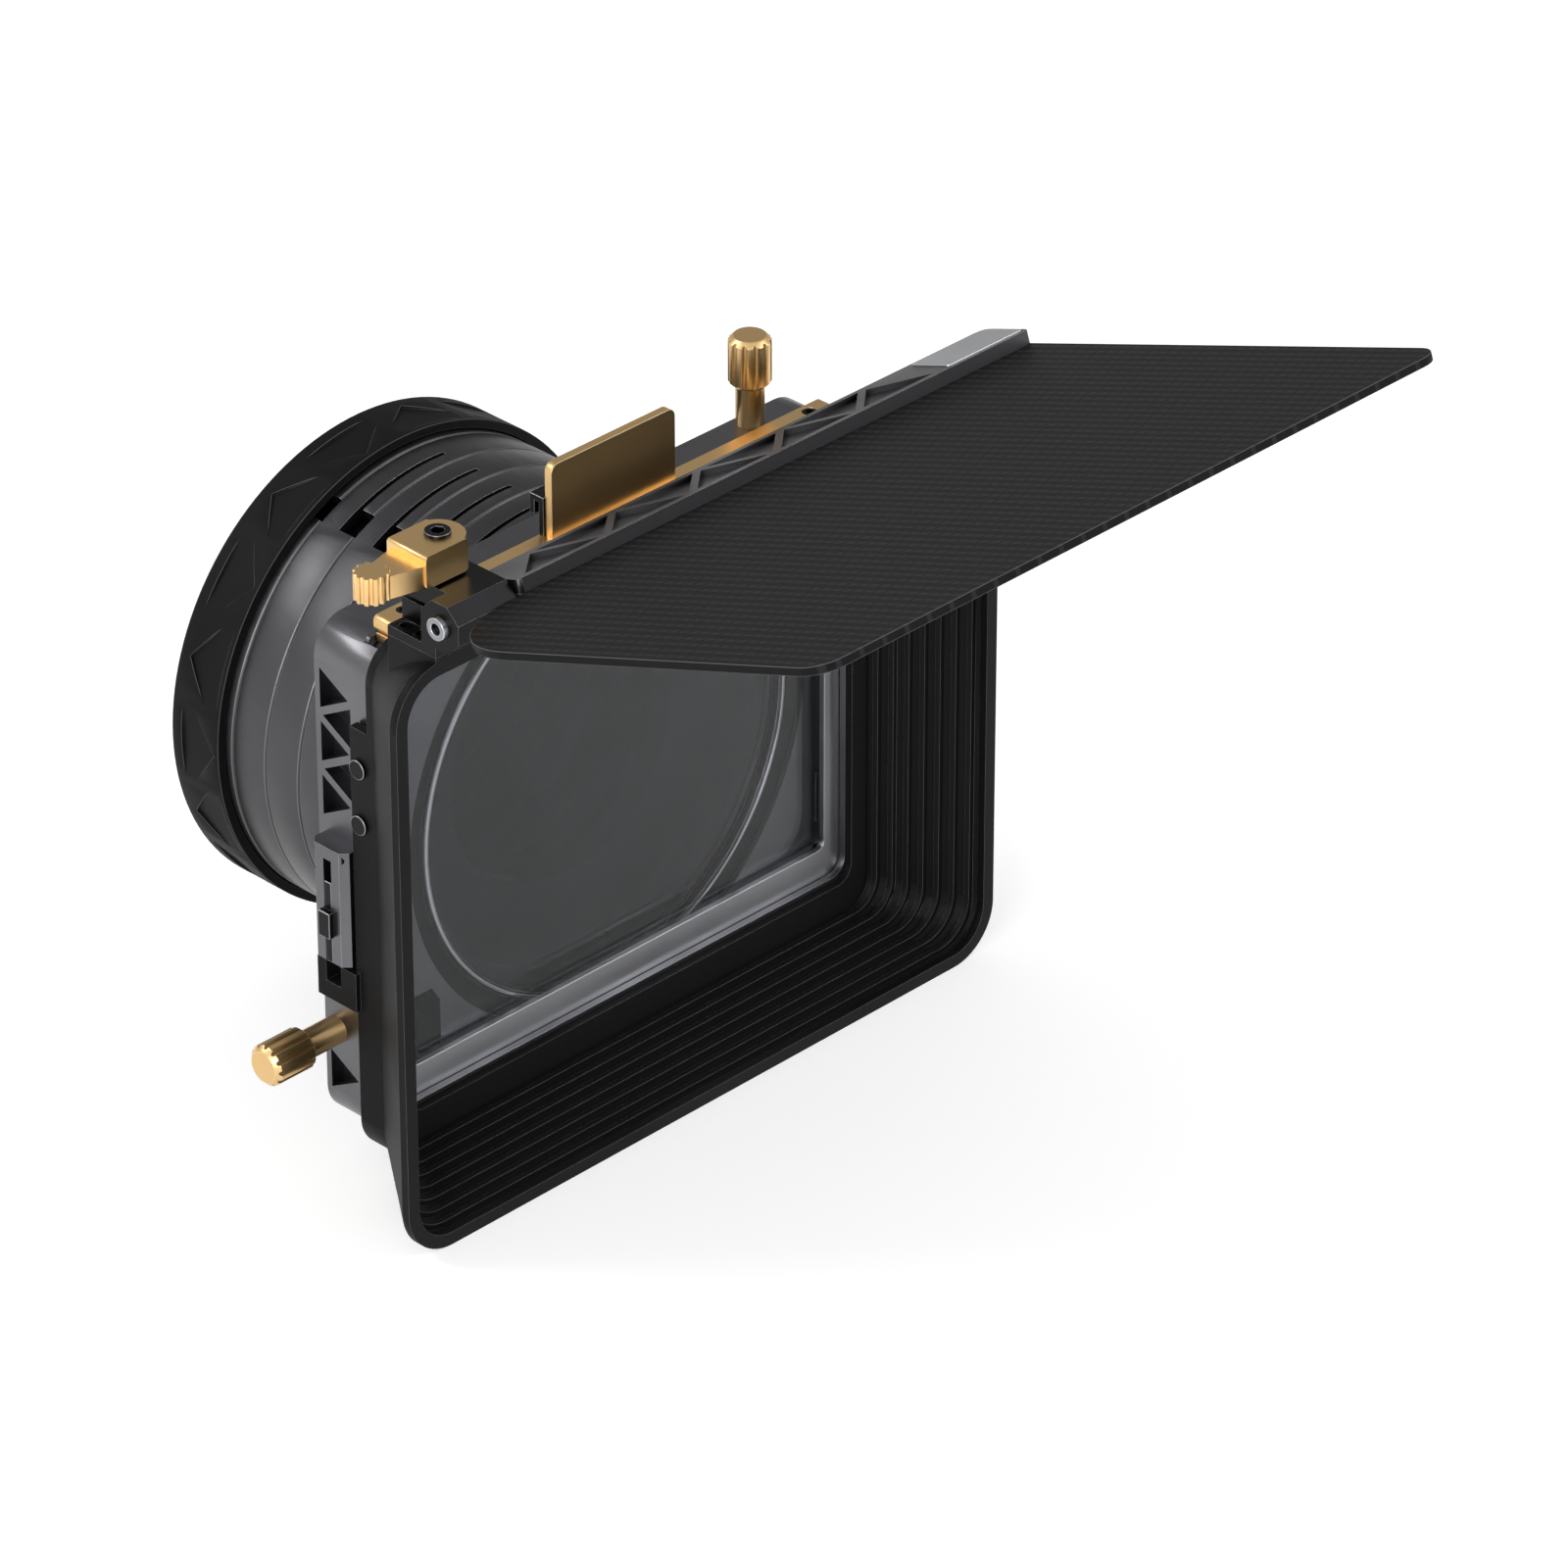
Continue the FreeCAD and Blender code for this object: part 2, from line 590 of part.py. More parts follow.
def core_frame():
    """The body: ring socket behind, wheel cavity, tray well open at the top, and a front rim."""
    core = slab(CORE_WIDTH, CORE_HEIGHT, CORE_CORNER_R, CORE_REAR, CORE_FRONT, 0, CORE_MID_Z)
    core = core.cut(round_y(SOCKET_R, CORE_REAR, STACK_FRONT))
    core = core.cut(round_y(SPIGOT_R - SPIGOT_WALL, STACK_FRONT, WHEEL_REAR))
    core = core.cut(light_seal())
    core = core.cut(round_y(CAVITY_R, WHEEL_REAR, PLATE_REAR))
    core = core.cut(box(-WELL_WIDTH / 2, WELL_WIDTH / 2, PLATE_REAR, LIP_REAR, TRAY_BOTTOM, CORE_TOP))
    window_top = CORE_TOP - CORE_RIM
    window_height = window_top - TRAY_BOTTOM - SILL_STEP
    window = slab(CORE_WIDTH - 2 * CORE_RIM, window_height, TRAY_CORNER_R, LIP_REAR, CORE_FRONT, 0,
                  window_top - window_height / 2)
    core = core.cut(window)
    spigot = round_y(SPIGOT_R, STACK_FRONT, STACK_FRONT + SPIGOT_HEIGHT)
    core = core.fuse(spigot.cut(round_y(SPIGOT_R - SPIGOT_WALL, STACK_FRONT, STACK_FRONT + SPIGOT_HEIGHT)))
    pocket_rear = SCREW_Y + SCREW_R
    for corner in ("left", "top"):
        core = core.cut(corner_cut(corner, pocket_rear, PLATE_REAR))
        core = core.cut(shoe_block(corner, SHOE_GAP).cut(round_y(SOCKET_R - 1, CORE_REAR, WHEEL_REAR)))
        place, length = screw_place(corner)
        core = core.cut(placed(round_x(SCREW_R + SHOE_GAP, 0, length, 0, 0), corner))
        core = core.cut(placed(round_x(INSERT_R, 0, INSERT_LENGTH, 0, 0), corner))
    truss_end = CORE_TOP - TRUSS_FROM_TOP
    above_screw = SIDE_SCREW_Z + TRUSS_ABOVE_SCREW
    below_screw = SIDE_SCREW_Z - TRUSS_BELOW_SCREW
    core = core.cut(wall_truss(1, CORE_BOTTOM + TRUSS_FROM_BOTTOM, truss_end))
    core = core.cut(wall_truss(-1, LATCH_TOP + TRUSS_ABOVE_LATCH, truss_end))
    core = core.cut(wall_truss(-1, above_screw, above_screw + TRUSS_CELL))
    core = core.cut(wall_truss(-1, below_screw - TRUSS_CELL, below_screw))
    for x, z in plate_screw_places():
        core = core.cut(round_y(PLATE_SCREW_R, PLATE_REAR, PLATE_FRONT + PLATE_SCREW_LENGTH, x, z))
    return core.cut(latch_screw_bodies()).removeSplitter()


def light_seal():
    outer = SPIGOT_R + SLIP + SEAL_WIDTH
    return round_y(outer, STACK_FRONT, STACK_FRONT - SEAL_THICK).cut(
        round_y(outer - SEAL_WIDTH, STACK_FRONT, STACK_FRONT - SEAL_THICK))


def face_plate():
    """The flat plate that keeps the wheel in, with its round opening, two corner windows and screw seats."""
    height = CORE_TOP - TRAY_GAP - TRAY_BOTTOM
    plate = slab(TRAY_WIDTH, height, PLATE_CORNER_R, PLATE_REAR, PLATE_FRONT, 0, TRAY_BOTTOM + height / 2)
    plate = plate.cut(round_y(PLATE_OPENING_R, PLATE_REAR, PLATE_FRONT))
    for corner in ("left", "top"):
        plate = plate.cut(corner_cut(corner, PLATE_REAR, PLATE_FRONT, -PLATE_WINDOW_RIM))
    return plate.cut(plate_screws())


def plate_screw_places():
    """The x and z of the plate's screws, each given by its drop from the core's top."""
    x = TRAY_WIDTH / 2 - PLATE_SCREW_FROM_SIDE
    left = [(-x, CORE_TOP - drop) for drop in LEFT_PLATE_SCREWS]
    return left + [(x, CORE_TOP - drop) for drop in RIGHT_PLATE_SCREWS]


def plate_screws():
    screws = []
    for x, z in plate_screw_places():
        head = round_y(PLATE_SCREW_HEAD_R, PLATE_FRONT, PLATE_FRONT + PLATE_SCREW_HEAD, x, z)
        screws.append(head.fuse(round_y(PLATE_SCREW_R, PLATE_FRONT, PLATE_FRONT + PLATE_SCREW_LENGTH, x, z)))
    return Part.makeCompound(screws)


def filter_wheel():
    """The knurled carrier that turns in the core, with a rear lip that the filter seats on."""
    wheel = round_y(WHEEL_R, WHEEL_REAR, WHEEL_FRONT)
    wheel = wheel.cut(round_y(FILTER_R - WHEEL_LIP_REACH, WHEEL_REAR, WHEEL_FRONT))
    wheel = wheel.cut(round_y(FILTER_R + FILTER_FIT, WHEEL_REAR - WHEEL_LIP, WHEEL_FRONT))
    half = TOOTH_GAP_SHARE * math.pi * WHEEL_R / WHEEL_TEETH
    tooth_gaps = []
    for index in range(WHEEL_TEETH):
        points = [V(WHEEL_R + WHEEL_GAP, WHEEL_REAR, -half), V(WHEEL_R + WHEEL_GAP, WHEEL_REAR, half)]
        points += [V(WHEEL_R - WHEEL_TOOTH, WHEEL_REAR, 0)]
        gap = prism(points, V(0, -WHEEL_THICK, 0))
        tooth_gaps.append(turn_about_lens(gap, index * 360 / WHEEL_TEETH))
    return wheel.cut(Part.makeCompound(tooth_gaps))


def filter_parts():
    """The round filter's ring, its glass and the retaining ring in front of the glass."""
    rear = WHEEL_REAR - WHEEL_LIP
    front = rear - FILTER_THICK
    glass_rear = rear - FILTER_SEAT
    glass_front = glass_rear - ROUND_GLASS_THICK
    bore = FILTER_R - FILTER_RIM
    seat = bore + FILTER_SEAT
    chamfer = FILTER_SEAT / 2
    points = [(bore, rear), (FILTER_R, rear), (FILTER_R, front + chamfer), (FILTER_R - chamfer, front)]
    points += [(seat, front), (seat, glass_rear), (bore, glass_rear)]
    keeper = [(bore, glass_front), (seat, glass_front), (seat, front + chamfer)]
    keeper += [(bore + chamfer, front + chamfer)]
    return turned(points), round_y(seat, glass_rear, glass_front), turned(keeper)


def tray_frame():
    """The flat filter frame, with a rebate for the glass on its rear face."""
    height = TRAY_TOP - TRAY_BOTTOM
    frame = slab(TRAY_WIDTH, height, TRAY_CORNER_R, TRAY_REAR, TRAY_FRONT, 0, TRAY_BOTTOM + height / 2)
    frame = frame.cut(tray_opening(0.0, TRAY_REAR, TRAY_FRONT))
    frame = frame.cut(tray_opening(TRAY_REBATE, TRAY_REAR, TRAY_REAR - TRAY_GLASS_THICK - CLIP_THICK))
    return frame.cut(tray_screws())


def tray_opening(grow, y0, y1):
    width = TRAY_WIDTH - 2 * TRAY_SIDE_BAR + 2 * grow
    bottom = TRAY_BOTTOM + TRAY_BOTTOM_BAR - grow
    top = TRAY_TOP - TRAY_TOP_BAR + grow
    return slab(width, top - bottom, TRAY_CORNER_R / 2, y0, y1, 0, (top + bottom) / 2)


def tray_glass():
    return tray_opening(TRAY_REBATE, TRAY_REAR - CLIP_THICK, TRAY_REAR - CLIP_THICK - TRAY_GLASS_THICK)


def glass_clips():
    """Four flat clips in the rebate, behind the glass."""
    half_width = TRAY_WIDTH / 2 - TRAY_SIDE_BAR + TRAY_REBATE
    clips = []
    for side in (-1, 1):
        for z in (TRAY_BOTTOM + TRAY_BOTTOM_BAR + CLIP_LENGTH, TRAY_TOP - TRAY_TOP_BAR - CLIP_LENGTH):
            inner = side * (half_width - TRAY_REBATE - CLIP_THICK)
            clips.append(box(side * half_width, inner, TRAY_REAR, TRAY_REAR - CLIP_THICK,
                             z - CLIP_LENGTH / 2, z + CLIP_LENGTH / 2))
    return Part.makeCompound(clips)


def tray_trim():
    """The strip along the tray's top, with its pull tab."""
    middle = (TRAY_REAR + TRAY_FRONT) / 2
    width = TRAY_WIDTH - TRAY_CORNER_R
    foot_top = TRAY_TOP + STRIP_FOOT
    foot = box(-width / 2, width / 2, TRAY_REAR, TRAY_FRONT, TRAY_TOP, foot_top)
    head_height = STRIP_HEIGHT - STRIP_FOOT
    head = slab(width, head_height, head_height / 3, middle + STRIP_THICK / 2, middle - STRIP_THICK / 2, 0,
                foot_top + head_height / 2)
    tab_base = TRAY_TOP + STRIP_HEIGHT - TAB_CORNER_R
    tab_height = TAB_HEIGHT + TAB_CORNER_R
    radii = (TAB_CORNER_R, TAB_CORNER_R, TAB_FOOT_R, TAB_FOOT_R)
    tab = slab(TAB_WIDTH, tab_height, radii, middle + TAB_THICK / 2, middle - TAB_THICK / 2, 0,
               tab_base + tab_height / 2)
    return foot.fuse([head, tab]).cut(tray_screws()).removeSplitter()


def tray_screws():
    """Two long screws that hold the strip down into the top bar."""
    middle = (TRAY_REAR + TRAY_FRONT) / 2
    top = TRAY_TOP + STRIP_HEIGHT
    screws = []
    for side in (-1, 1):
        x = side * (TRAY_WIDTH / 2 - 2 * TRAY_CORNER_R)
        head = round_z(PLATE_SCREW_HEAD_R, top - PLATE_SCREW_HEAD, top, x, middle)
        screws.append(head.fuse(round_z(PLATE_SCREW_R, TRAY_TOP - STRIP_FOOT, top, x, middle)))
    return Part.makeCompound(screws)


def tray_hook():
    """The dark catch behind the tab's left end."""
    rear = (TRAY_REAR + TRAY_FRONT) / 2 + TAB_THICK / 2
    left = -TAB_WIDTH / 2 - HOOK_PAST_TAB
    right = left + HOOK_WIDTH
    base = TRAY_TOP + STRIP_HEIGHT
    top = base + HOOK_HEIGHT
    tip = rear + HOOK_REACH
    plate = box(left, right, rear, rear + HOOK_THICK, base, top)
    arm = box(left, right, rear, tip, top - HOOK_THICK, top)
    lip = box(left, right, tip - HOOK_THICK, tip, base + HOOK_HEIGHT / 2, top)
    return plate.fuse([arm, lip]).removeSplitter()


def latch_block_limits():
    """The latch housing's rear, front, bottom and top."""
    rear = CORE_REAR - LATCH_REAR_INSET
    front = CORE_FRONT + HOOD_COLLAR + LATCH_FRONT_GAP
    return rear, front, LATCH_TOP - LATCH_HEIGHT, LATCH_TOP


def catch_channel(grow, bottom, top):
    """The stepped channel that the catch slides in, or the catch itself without the gap."""
    rear, front, _, _ = latch_block_limits()
    middle = (rear + front) / 2
    floor = LEFT - CATCH_FLOOR
    foot_face = floor - CATCH_FOOT_DEPTH - grow
    face = LEFT - LATCH_PROUD - grow
    foot = box(floor, foot_face, middle - CATCH_FOOT / 2 - grow, middle + CATCH_FOOT / 2 + grow, bottom, top)
    neck = box(floor, face, middle - CATCH_NECK / 2 - grow, middle + CATCH_NECK / 2 + grow, bottom, top)
    return foot.fuse(neck)


def latch_housing():
    rear, front, bottom, top = latch_block_limits()
    outer = LEFT - LATCH_PROUD
    slope = LATCH_PROUD / 3
    outline = [V(LEFT, rear, 0), V(outer + slope, rear, 0), V(outer, rear - slope, 0)]
    outline += [V(outer, front + slope, 0), V(outer + slope, front, 0), V(LEFT, front, 0)]
    block = prism([V(point.x, point.y, bottom) for point in outline], V(0, 0, top - bottom))
    channel_top = bottom + CATCH_LENGTH + CATCH_TRAVEL + CATCH_GAP
    block = block.cut(catch_channel(CATCH_GAP, bottom, channel_top))
    return block.cut(latch_screw_bodies()).removeSplitter()


def latch_catch():
    """The sliding catch, drawn let go, with a thumb tab and a nose that drops in the hood's lug."""
    rear, front, bottom, _ = latch_block_limits()
    middle = (rear + front) / 2
    start = bottom - CATCH_GAP
    catch = catch_channel(0.0, start, start + CATCH_LENGTH)
    outer = LEFT - LATCH_PROUD
    tab_mid = start + CATCH_LENGTH / 2
    tab = box(outer, outer - CATCH_TAB_PROUD, middle - CATCH_FOOT / 2, middle + CATCH_FOOT / 2,
              tab_mid - CATCH_TAB / 2, tab_mid + CATCH_TAB / 2)
    return catch.fuse(tab).removeSplitter()


def latch_screw_bodies():
    """The two screws, sunk a little in the housing's face and long enough to hold in the wall."""
    rear, front, _, top = latch_block_limits()
    outer = LEFT - LATCH_PROUD + LATCH_SCREW_SINK
    screws = []
    for y in (rear - LATCH_SCREW_EDGE, front + LATCH_SCREW_EDGE):
        screws.append(round_x(LATCH_SCREW_R, outer, outer + LATCH_SCREW_LENGTH, y, top - LATCH_SCREW_EDGE))
    return Part.makeCompound(screws)


def flare(grow, y0, y1):
    """The hood's flared form between two depths, grown outwards, or inwards if the growth is negative."""
    outlines = []
    for y in (y0, y1):
        share = (FLANGE_FRONT - y) / HOOD_FLARE
        width = HOOD_REAR_WIDTH + (HOOD_MOUTH_WIDTH - HOOD_REAR_WIDTH) * share
        height = HOOD_REAR_HEIGHT + (HOOD_MOUTH_HEIGHT - HOOD_REAR_HEIGHT) * share
        radius = HOOD_REAR_R + (HOOD_MOUTH_R - HOOD_REAR_R) * share + grow
        outlines.append(rounded_outline(width + 2 * grow, height + 2 * grow, (radius,) * 4, y, 0, CORE_MID_Z))
    return Part.makeLoft(outlines, True, True)


def hood_collar():
    """The lip that slips over the core's sides and bottom, open at the top for the tray."""
    rear = CORE_FRONT + HOOD_COLLAR
    outer = slab(HOOD_REAR_WIDTH, HOOD_REAR_HEIGHT, HOOD_REAR_R, rear, CORE_FRONT, 0, CORE_MID_Z)
    inner = slab(CORE_WIDTH + 2 * HOOD_COLLAR_GAP, CORE_HEIGHT + 2 * HOOD_COLLAR_GAP,
                 CORE_CORNER_R, rear, CORE_FRONT, 0, CORE_MID_Z)
    half = HOOD_REAR_WIDTH
    return outer.cut(inner).cut(box(-half, half, rear, CORE_FRONT, HOOD_COLLAR_TOP, MOUTH_TOP))


def hood_lug():
    """The notched lug on the left side that the latch's catch drops into."""
    rear, front, bottom, _ = latch_block_limits()
    middle = (rear + front) / 2
    top = bottom - LUG_BELOW_LATCH
    outer = LEFT - HOOD_COLLAR_GAP - LUG_THICK
    root = CORE_FRONT + HOOD_COLLAR - LUG_ROOT
    lug = box(LEFT - HOOD_COLLAR_GAP, outer, root, root + LUG_REACH, top - LUG_WIDTH, top)
    notch_half = CATCH_FOOT / 2 + LUG_NOTCH_PLAY
    return lug.cut(box(LEFT, outer, middle - notch_half, middle + notch_half, top - LUG_NOTCH_DEPTH, top))


def detent_pins():
    """The small pins through the collar's sides that click onto the core."""
    pins = []
    y = CORE_FRONT + HOOD_COLLAR / 2
    outer = HOOD_REAR_WIDTH / 2
    for side in (-1, 1):
        for z in DETENT_HEIGHTS:
            shank = round_x(DETENT_R, side * (CORE_WIDTH / 2 + HOOD_COLLAR_GAP), side * outer, y, z)
            pins.append(shank.fuse(round_x(DETENT_HEAD_R, side * outer, side * (outer + DETENT_HEAD), y, z)))
    return Part.makeCompound(pins)


def hood_shell():
    """The flared hood: rear flange and collar, thin flared walls, ribs inside, and a rim round the mouth."""
    shell = flare(0.0, FLANGE_FRONT, FLARE_FRONT)
    inside = flare(-HOOD_WALL, FLANGE_FRONT, FLARE_FRONT)
    rim = slab(HOOD_MOUTH_WIDTH, HOOD_MOUTH_HEIGHT, HOOD_MOUTH_R, FLARE_FRONT, MOUTH_Y, 0, CORE_MID_Z)
    flange = slab(HOOD_REAR_WIDTH, HOOD_REAR_HEIGHT, HOOD_REAR_R, CORE_FRONT, FLANGE_FRONT, 0, CORE_MID_Z)
    seat = box(BARREL_LEFT, BARREL_RIGHT, MOUTH_Y, BOLT_Y + BOLT_FROM_BACK, CORE_TOP, CLAMP_SEAT)
    shell = shell.fuse([rim, flange, hood_collar(), hood_lug(), seat]).cut(inside)
    window_width = CORE_WIDTH - 2 * CORE_RIM
    window_height = CORE_TOP - CORE_RIM - TRAY_BOTTOM
    shell = shell.cut(slab(window_width, window_height, TRAY_CORNER_R, CORE_FRONT, FLANGE_FRONT, 0,
                           TRAY_BOTTOM + window_height / 2))
    mouth_width = HOOD_MOUTH_WIDTH - 2 * HOOD_RIM_WIDTH
    mouth_height = HOOD_MOUTH_HEIGHT - 2 * HOOD_RIM_WIDTH
    shell = shell.cut(slab(mouth_width, mouth_height, HOOD_MOUTH_R - HOOD_RIM_WIDTH, FLARE_FRONT, MOUTH_Y, 0,
                           CORE_MID_Z))
    pitch = (HOOD_FLARE - RIB_THICK) / RIB_COUNT
    for index in range(RIB_COUNT):
        rear = FLANGE_FRONT - pitch * (index + 0.5)
        rib = flare(-HOOD_WALL / 2, rear, rear - RIB_THICK).cut(
            flare(-HOOD_WALL - RIB_RISE, rear, rear - RIB_THICK))
        shell = shell.fuse(rib)
    shell = shell.cut(detent_pins())
    return shell.cut(clamp_foot_screws()).removeSplitter()


def eight_sided_barrel():
    """The barrel's outer form, with flats above, below, before and behind."""
    corner_r = BARREL_R / math.cos(math.pi / BARREL_SIDES)
    corners = []
    for index in range(BARREL_SIDES):
        turn = 2 * math.pi * (index + 0.5) / BARREL_SIDES
        z = HINGE_Z + corner_r * math.sin(turn)
        corners.append(V(BARREL_LEFT, HINGE_Y + corner_r * math.cos(turn), z))
    return prism(corners, V(BARREL_LENGTH, 0, 0))


def hinge_clamp():
    """The split barrel that grips the flag's rod, with two ears, a foot and the bolt's hole."""
    back = HINGE_Y + EAR_BACK
    ear_left = BARREL_RIGHT - EAR_LENGTH
    clamp = eight_sided_barrel()
    ears = box(ear_left, BARREL_RIGHT, HINGE_Y, back, EAR_BOTTOM, EAR_TOP)
    neck = box(BARREL_LEFT, ear_left, HINGE_Y, HINGE_Y + BARREL_R, EAR_BOTTOM, HINGE_Z)
    foot = box(BARREL_LEFT, BARREL_RIGHT, MOUTH_Y, back, CLAMP_SEAT, EAR_BOTTOM)
    clamp = clamp.fuse([ears, neck, foot])
    clamp = clamp.cut(round_x(ROD_R + PIN_FIT, BARREL_LEFT, BARREL_RIGHT, HINGE_Y, HINGE_Z))
    slit_half = CLAMP_SLIT / 2
    clamp = clamp.cut(box(ear_left, BARREL_RIGHT, HINGE_Y, back, HINGE_Z - slit_half, HINGE_Z + slit_half))
    clamp = clamp.cut(round_z(BOLT_R + PIN_FIT, CLAMP_SEAT, EAR_TOP, BOLT_X, BOLT_Y))
    return clamp.cut(clamp_foot_screws()).removeSplitter()


def clamp_foot_screws():
    """Two screws that hold the clamp's foot down on the hood, left of the ears."""
    x = (BARREL_LEFT + BARREL_RIGHT - EAR_LENGTH) / 2
    back = HINGE_Y + EAR_BACK
    screws = []
    for y in (back - FOOT_SCREW_EDGE, back - FOOT_SCREW_EDGE - FOOT_SCREW_PITCH):
        head = round_z(FOOT_SCREW_HEAD_R, EAR_BOTTOM - FOOT_SCREW_HEAD, EAR_BOTTOM, x, y)
        screws.append(head.fuse(round_z(FOOT_SCREW_R, CLAMP_SEAT - FOOT_SCREW_DEPTH, EAR_BOTTOM, x, y)))
    return Part.makeCompound(screws)


def lever_base():
    return EAR_TOP + WASHER_THICK


def clamp_washer():
    return round_z(WASHER_R, EAR_TOP, lever_base(), BOLT_X, BOLT_Y).cut(
        round_z(BOLT_R + PIN_FIT, EAR_TOP, lever_base(), BOLT_X, BOLT_Y))


def clamp_bolt():
    return round_z(BOLT_R, CLAMP_SEAT + PIN_FIT, lever_base() + HUB_HEIGHT - LEVER_SCREW_HEAD, BOLT_X,
                   BOLT_Y)


def clamp_lever():
    """The lever: a flat-sided hub over the bolt, a waisted arm and a knurled end, pointing left."""
    base = lever_base()
    tip_x = BOLT_X - LEVER_LENGTH + LEVER_TIP_R
    hub = round_z(HUB_R, base, base + HUB_HEIGHT, BOLT_X, BOLT_Y)
    block = slab(HUB_R * 2, HUB_HEIGHT, LEVER_BLOCK_R, BOLT_Y + HUB_R, BOLT_Y - HUB_R, BOLT_X - HUB_R / 2,
                 base + HUB_HEIGHT / 2)
    hub = hub.fuse(block)
    root = BOLT_X - HUB_R
    outline = [V(root, BOLT_Y - HUB_R, base), V(tip_x, BOLT_Y - LEVER_NECK / 2, base)]
    outline += [V(tip_x, BOLT_Y + LEVER_NECK / 2, base), V(root, BOLT_Y + HUB_R, base)]
    arm = prism(outline, V(0, 0, LEVER_HEIGHT))
    tip = round_z(LEVER_TIP_R, base, base + LEVER_HEIGHT + LEVER_TIP_RISE, tip_x, BOLT_Y)
    for index in range(LEVER_GROOVES):
        turn = 2 * math.pi * (index + 0.5) / LEVER_GROOVES
        x = tip_x + LEVER_TIP_R * math.cos(turn)
        y = BOLT_Y + LEVER_TIP_R * math.sin(turn)
        tip = tip.cut(round_z(KNOB_GROOVE_R, base, base + HUB_HEIGHT, x, y))
    lever = hub.fuse([arm, tip])
    lever = lever.cut(round_z(BOLT_R, base, base + HUB_HEIGHT, BOLT_X, BOLT_Y))
    return lever.cut(lever_screw()).removeSplitter()


def lever_screw():
    """The low screw that holds the lever on its bolt, with a hexagon socket."""
    base = lever_base() + HUB_HEIGHT - LEVER_SCREW_HEAD
    top = base + LEVER_SCREW_HEAD + LEVER_SCREW_RISE
    head = round_z(LEVER_SCREW_HEAD_R, base, top, BOLT_X, BOLT_Y)
    corners = []
    for index in range(SOCKET_SIDES):
        turn = 2 * math.pi * index / SOCKET_SIDES
        x = BOLT_X + SOCKET_R_IN_HEAD * math.cos(turn)
        corners.append(V(x, BOLT_Y + SOCKET_R_IN_HEAD * math.sin(turn), base + LEVER_SCREW_RISE))
    return head.cut(prism(corners, V(0, 0, LEVER_SCREW_HEAD)))


def rail_limits():
    """The rail's left and right ends, its top and bottom, and its inner and outer faces, hanging closed."""
    top = HINGE_Z + RAIL_HEIGHT / 2
    left = BARREL_RIGHT + FLAG_GAP
    return left, FLAG_WIDTH / 2, top, top - RAIL_HEIGHT, HINGE_Y + RAIL_DEPTH / 2, HINGE_Y - RAIL_DEPTH / 2


def panel_faces():
    inner = MOUTH_Y - FLAG_GAP
    return inner, inner - FLAG_THICK


def flag_panel():
    """The stiff sheet: a large radius beside the barrel, and a step where it enters the rail's groove."""
    left, right, _, bottom, _, _ = rail_limits()
    inner, outer = panel_faces()
    height = FLAG_HEIGHT - RAIL_HEIGHT
    radii = (FLAG_SMALL_R, FLAG_CUT_CORNER_R, FLAG_CORNER_R, FLAG_CORNER_R)
    sheet = slab(FLAG_WIDTH, height, radii, inner, outer, 0, bottom - height / 2)
    tongue = box(left, right, inner, outer, bottom - RAIL_GROOVE, bottom + RAIL_GROOVE)
    return sheet.fuse(tongue).cut(rail_screws()).removeSplitter()


def flag_rail():
    """The rail: truss relief on its outer face, the rod's hole, and seats for the plate and screws."""
    left, right, _, bottom, inner, outer = rail_limits()
    radii = (RAIL_END_R, RAIL_SMALL_R, RAIL_SMALL_R, RAIL_SMALL_R)
    rail = slab(right - left, RAIL_HEIGHT, radii, inner, outer, (left + right) / 2, HINGE_Z)
    sheet_inner, sheet_outer = panel_faces()
    rail = rail.cut(box(left, right, sheet_inner, sheet_outer, bottom, bottom + RAIL_GROOVE))
    length = right - left - END_PLATE_LENGTH - 3 * RAIL_EDGE
    height = RAIL_HEIGHT - 2 * RAIL_EDGE
    for triangle in truss_triangles(length, height, RAIL_CELLS, RAIL_RIB):
        points = [V(left + RAIL_EDGE + x, outer, bottom + RAIL_EDGE + z) for x, z in triangle]
        rail = rail.cut(prism(points, V(0, RAIL_RELIEF, 0)))
    rail = rail.cut(round_x(ROD_R + ROD_GLUE_GAP, left, left + ROD_IN_RAIL, HINGE_Y, HINGE_Z))
    return rail.cut(end_plate()).cut(rail_screws()).removeSplitter()


def end_plate():
    """The thin plain plate let into the rail's right end."""
    _, right, _, _, _, outer = rail_limits()
    x_mid = right - RAIL_EDGE / 2 - END_PLATE_LENGTH / 2
    height = RAIL_HEIGHT - 2 * END_PLATE_MARGIN
    radii = (END_PLATE_R, END_PLATE_SMALL_R, END_PLATE_SMALL_R, END_PLATE_SMALL_R)
    return slab(END_PLATE_LENGTH, height, radii, outer + END_PLATE_SINK,
                outer + END_PLATE_SINK - END_PLATE_THICK, x_mid, HINGE_Z)


def hinge_rod():
    left, _, _, _, _, _ = rail_limits()
    rod = round_x(ROD_R, BARREL_LEFT - ROD_PAST_BARREL, left + ROD_IN_RAIL, HINGE_Y, HINGE_Z)
    bore_end = BARREL_LEFT - ROD_PAST_BARREL + ROD_BORE_DEPTH
    return rod.cut(round_x(ROD_BORE_R, BARREL_LEFT - ROD_PAST_BARREL, bore_end, HINGE_Y, HINGE_Z))


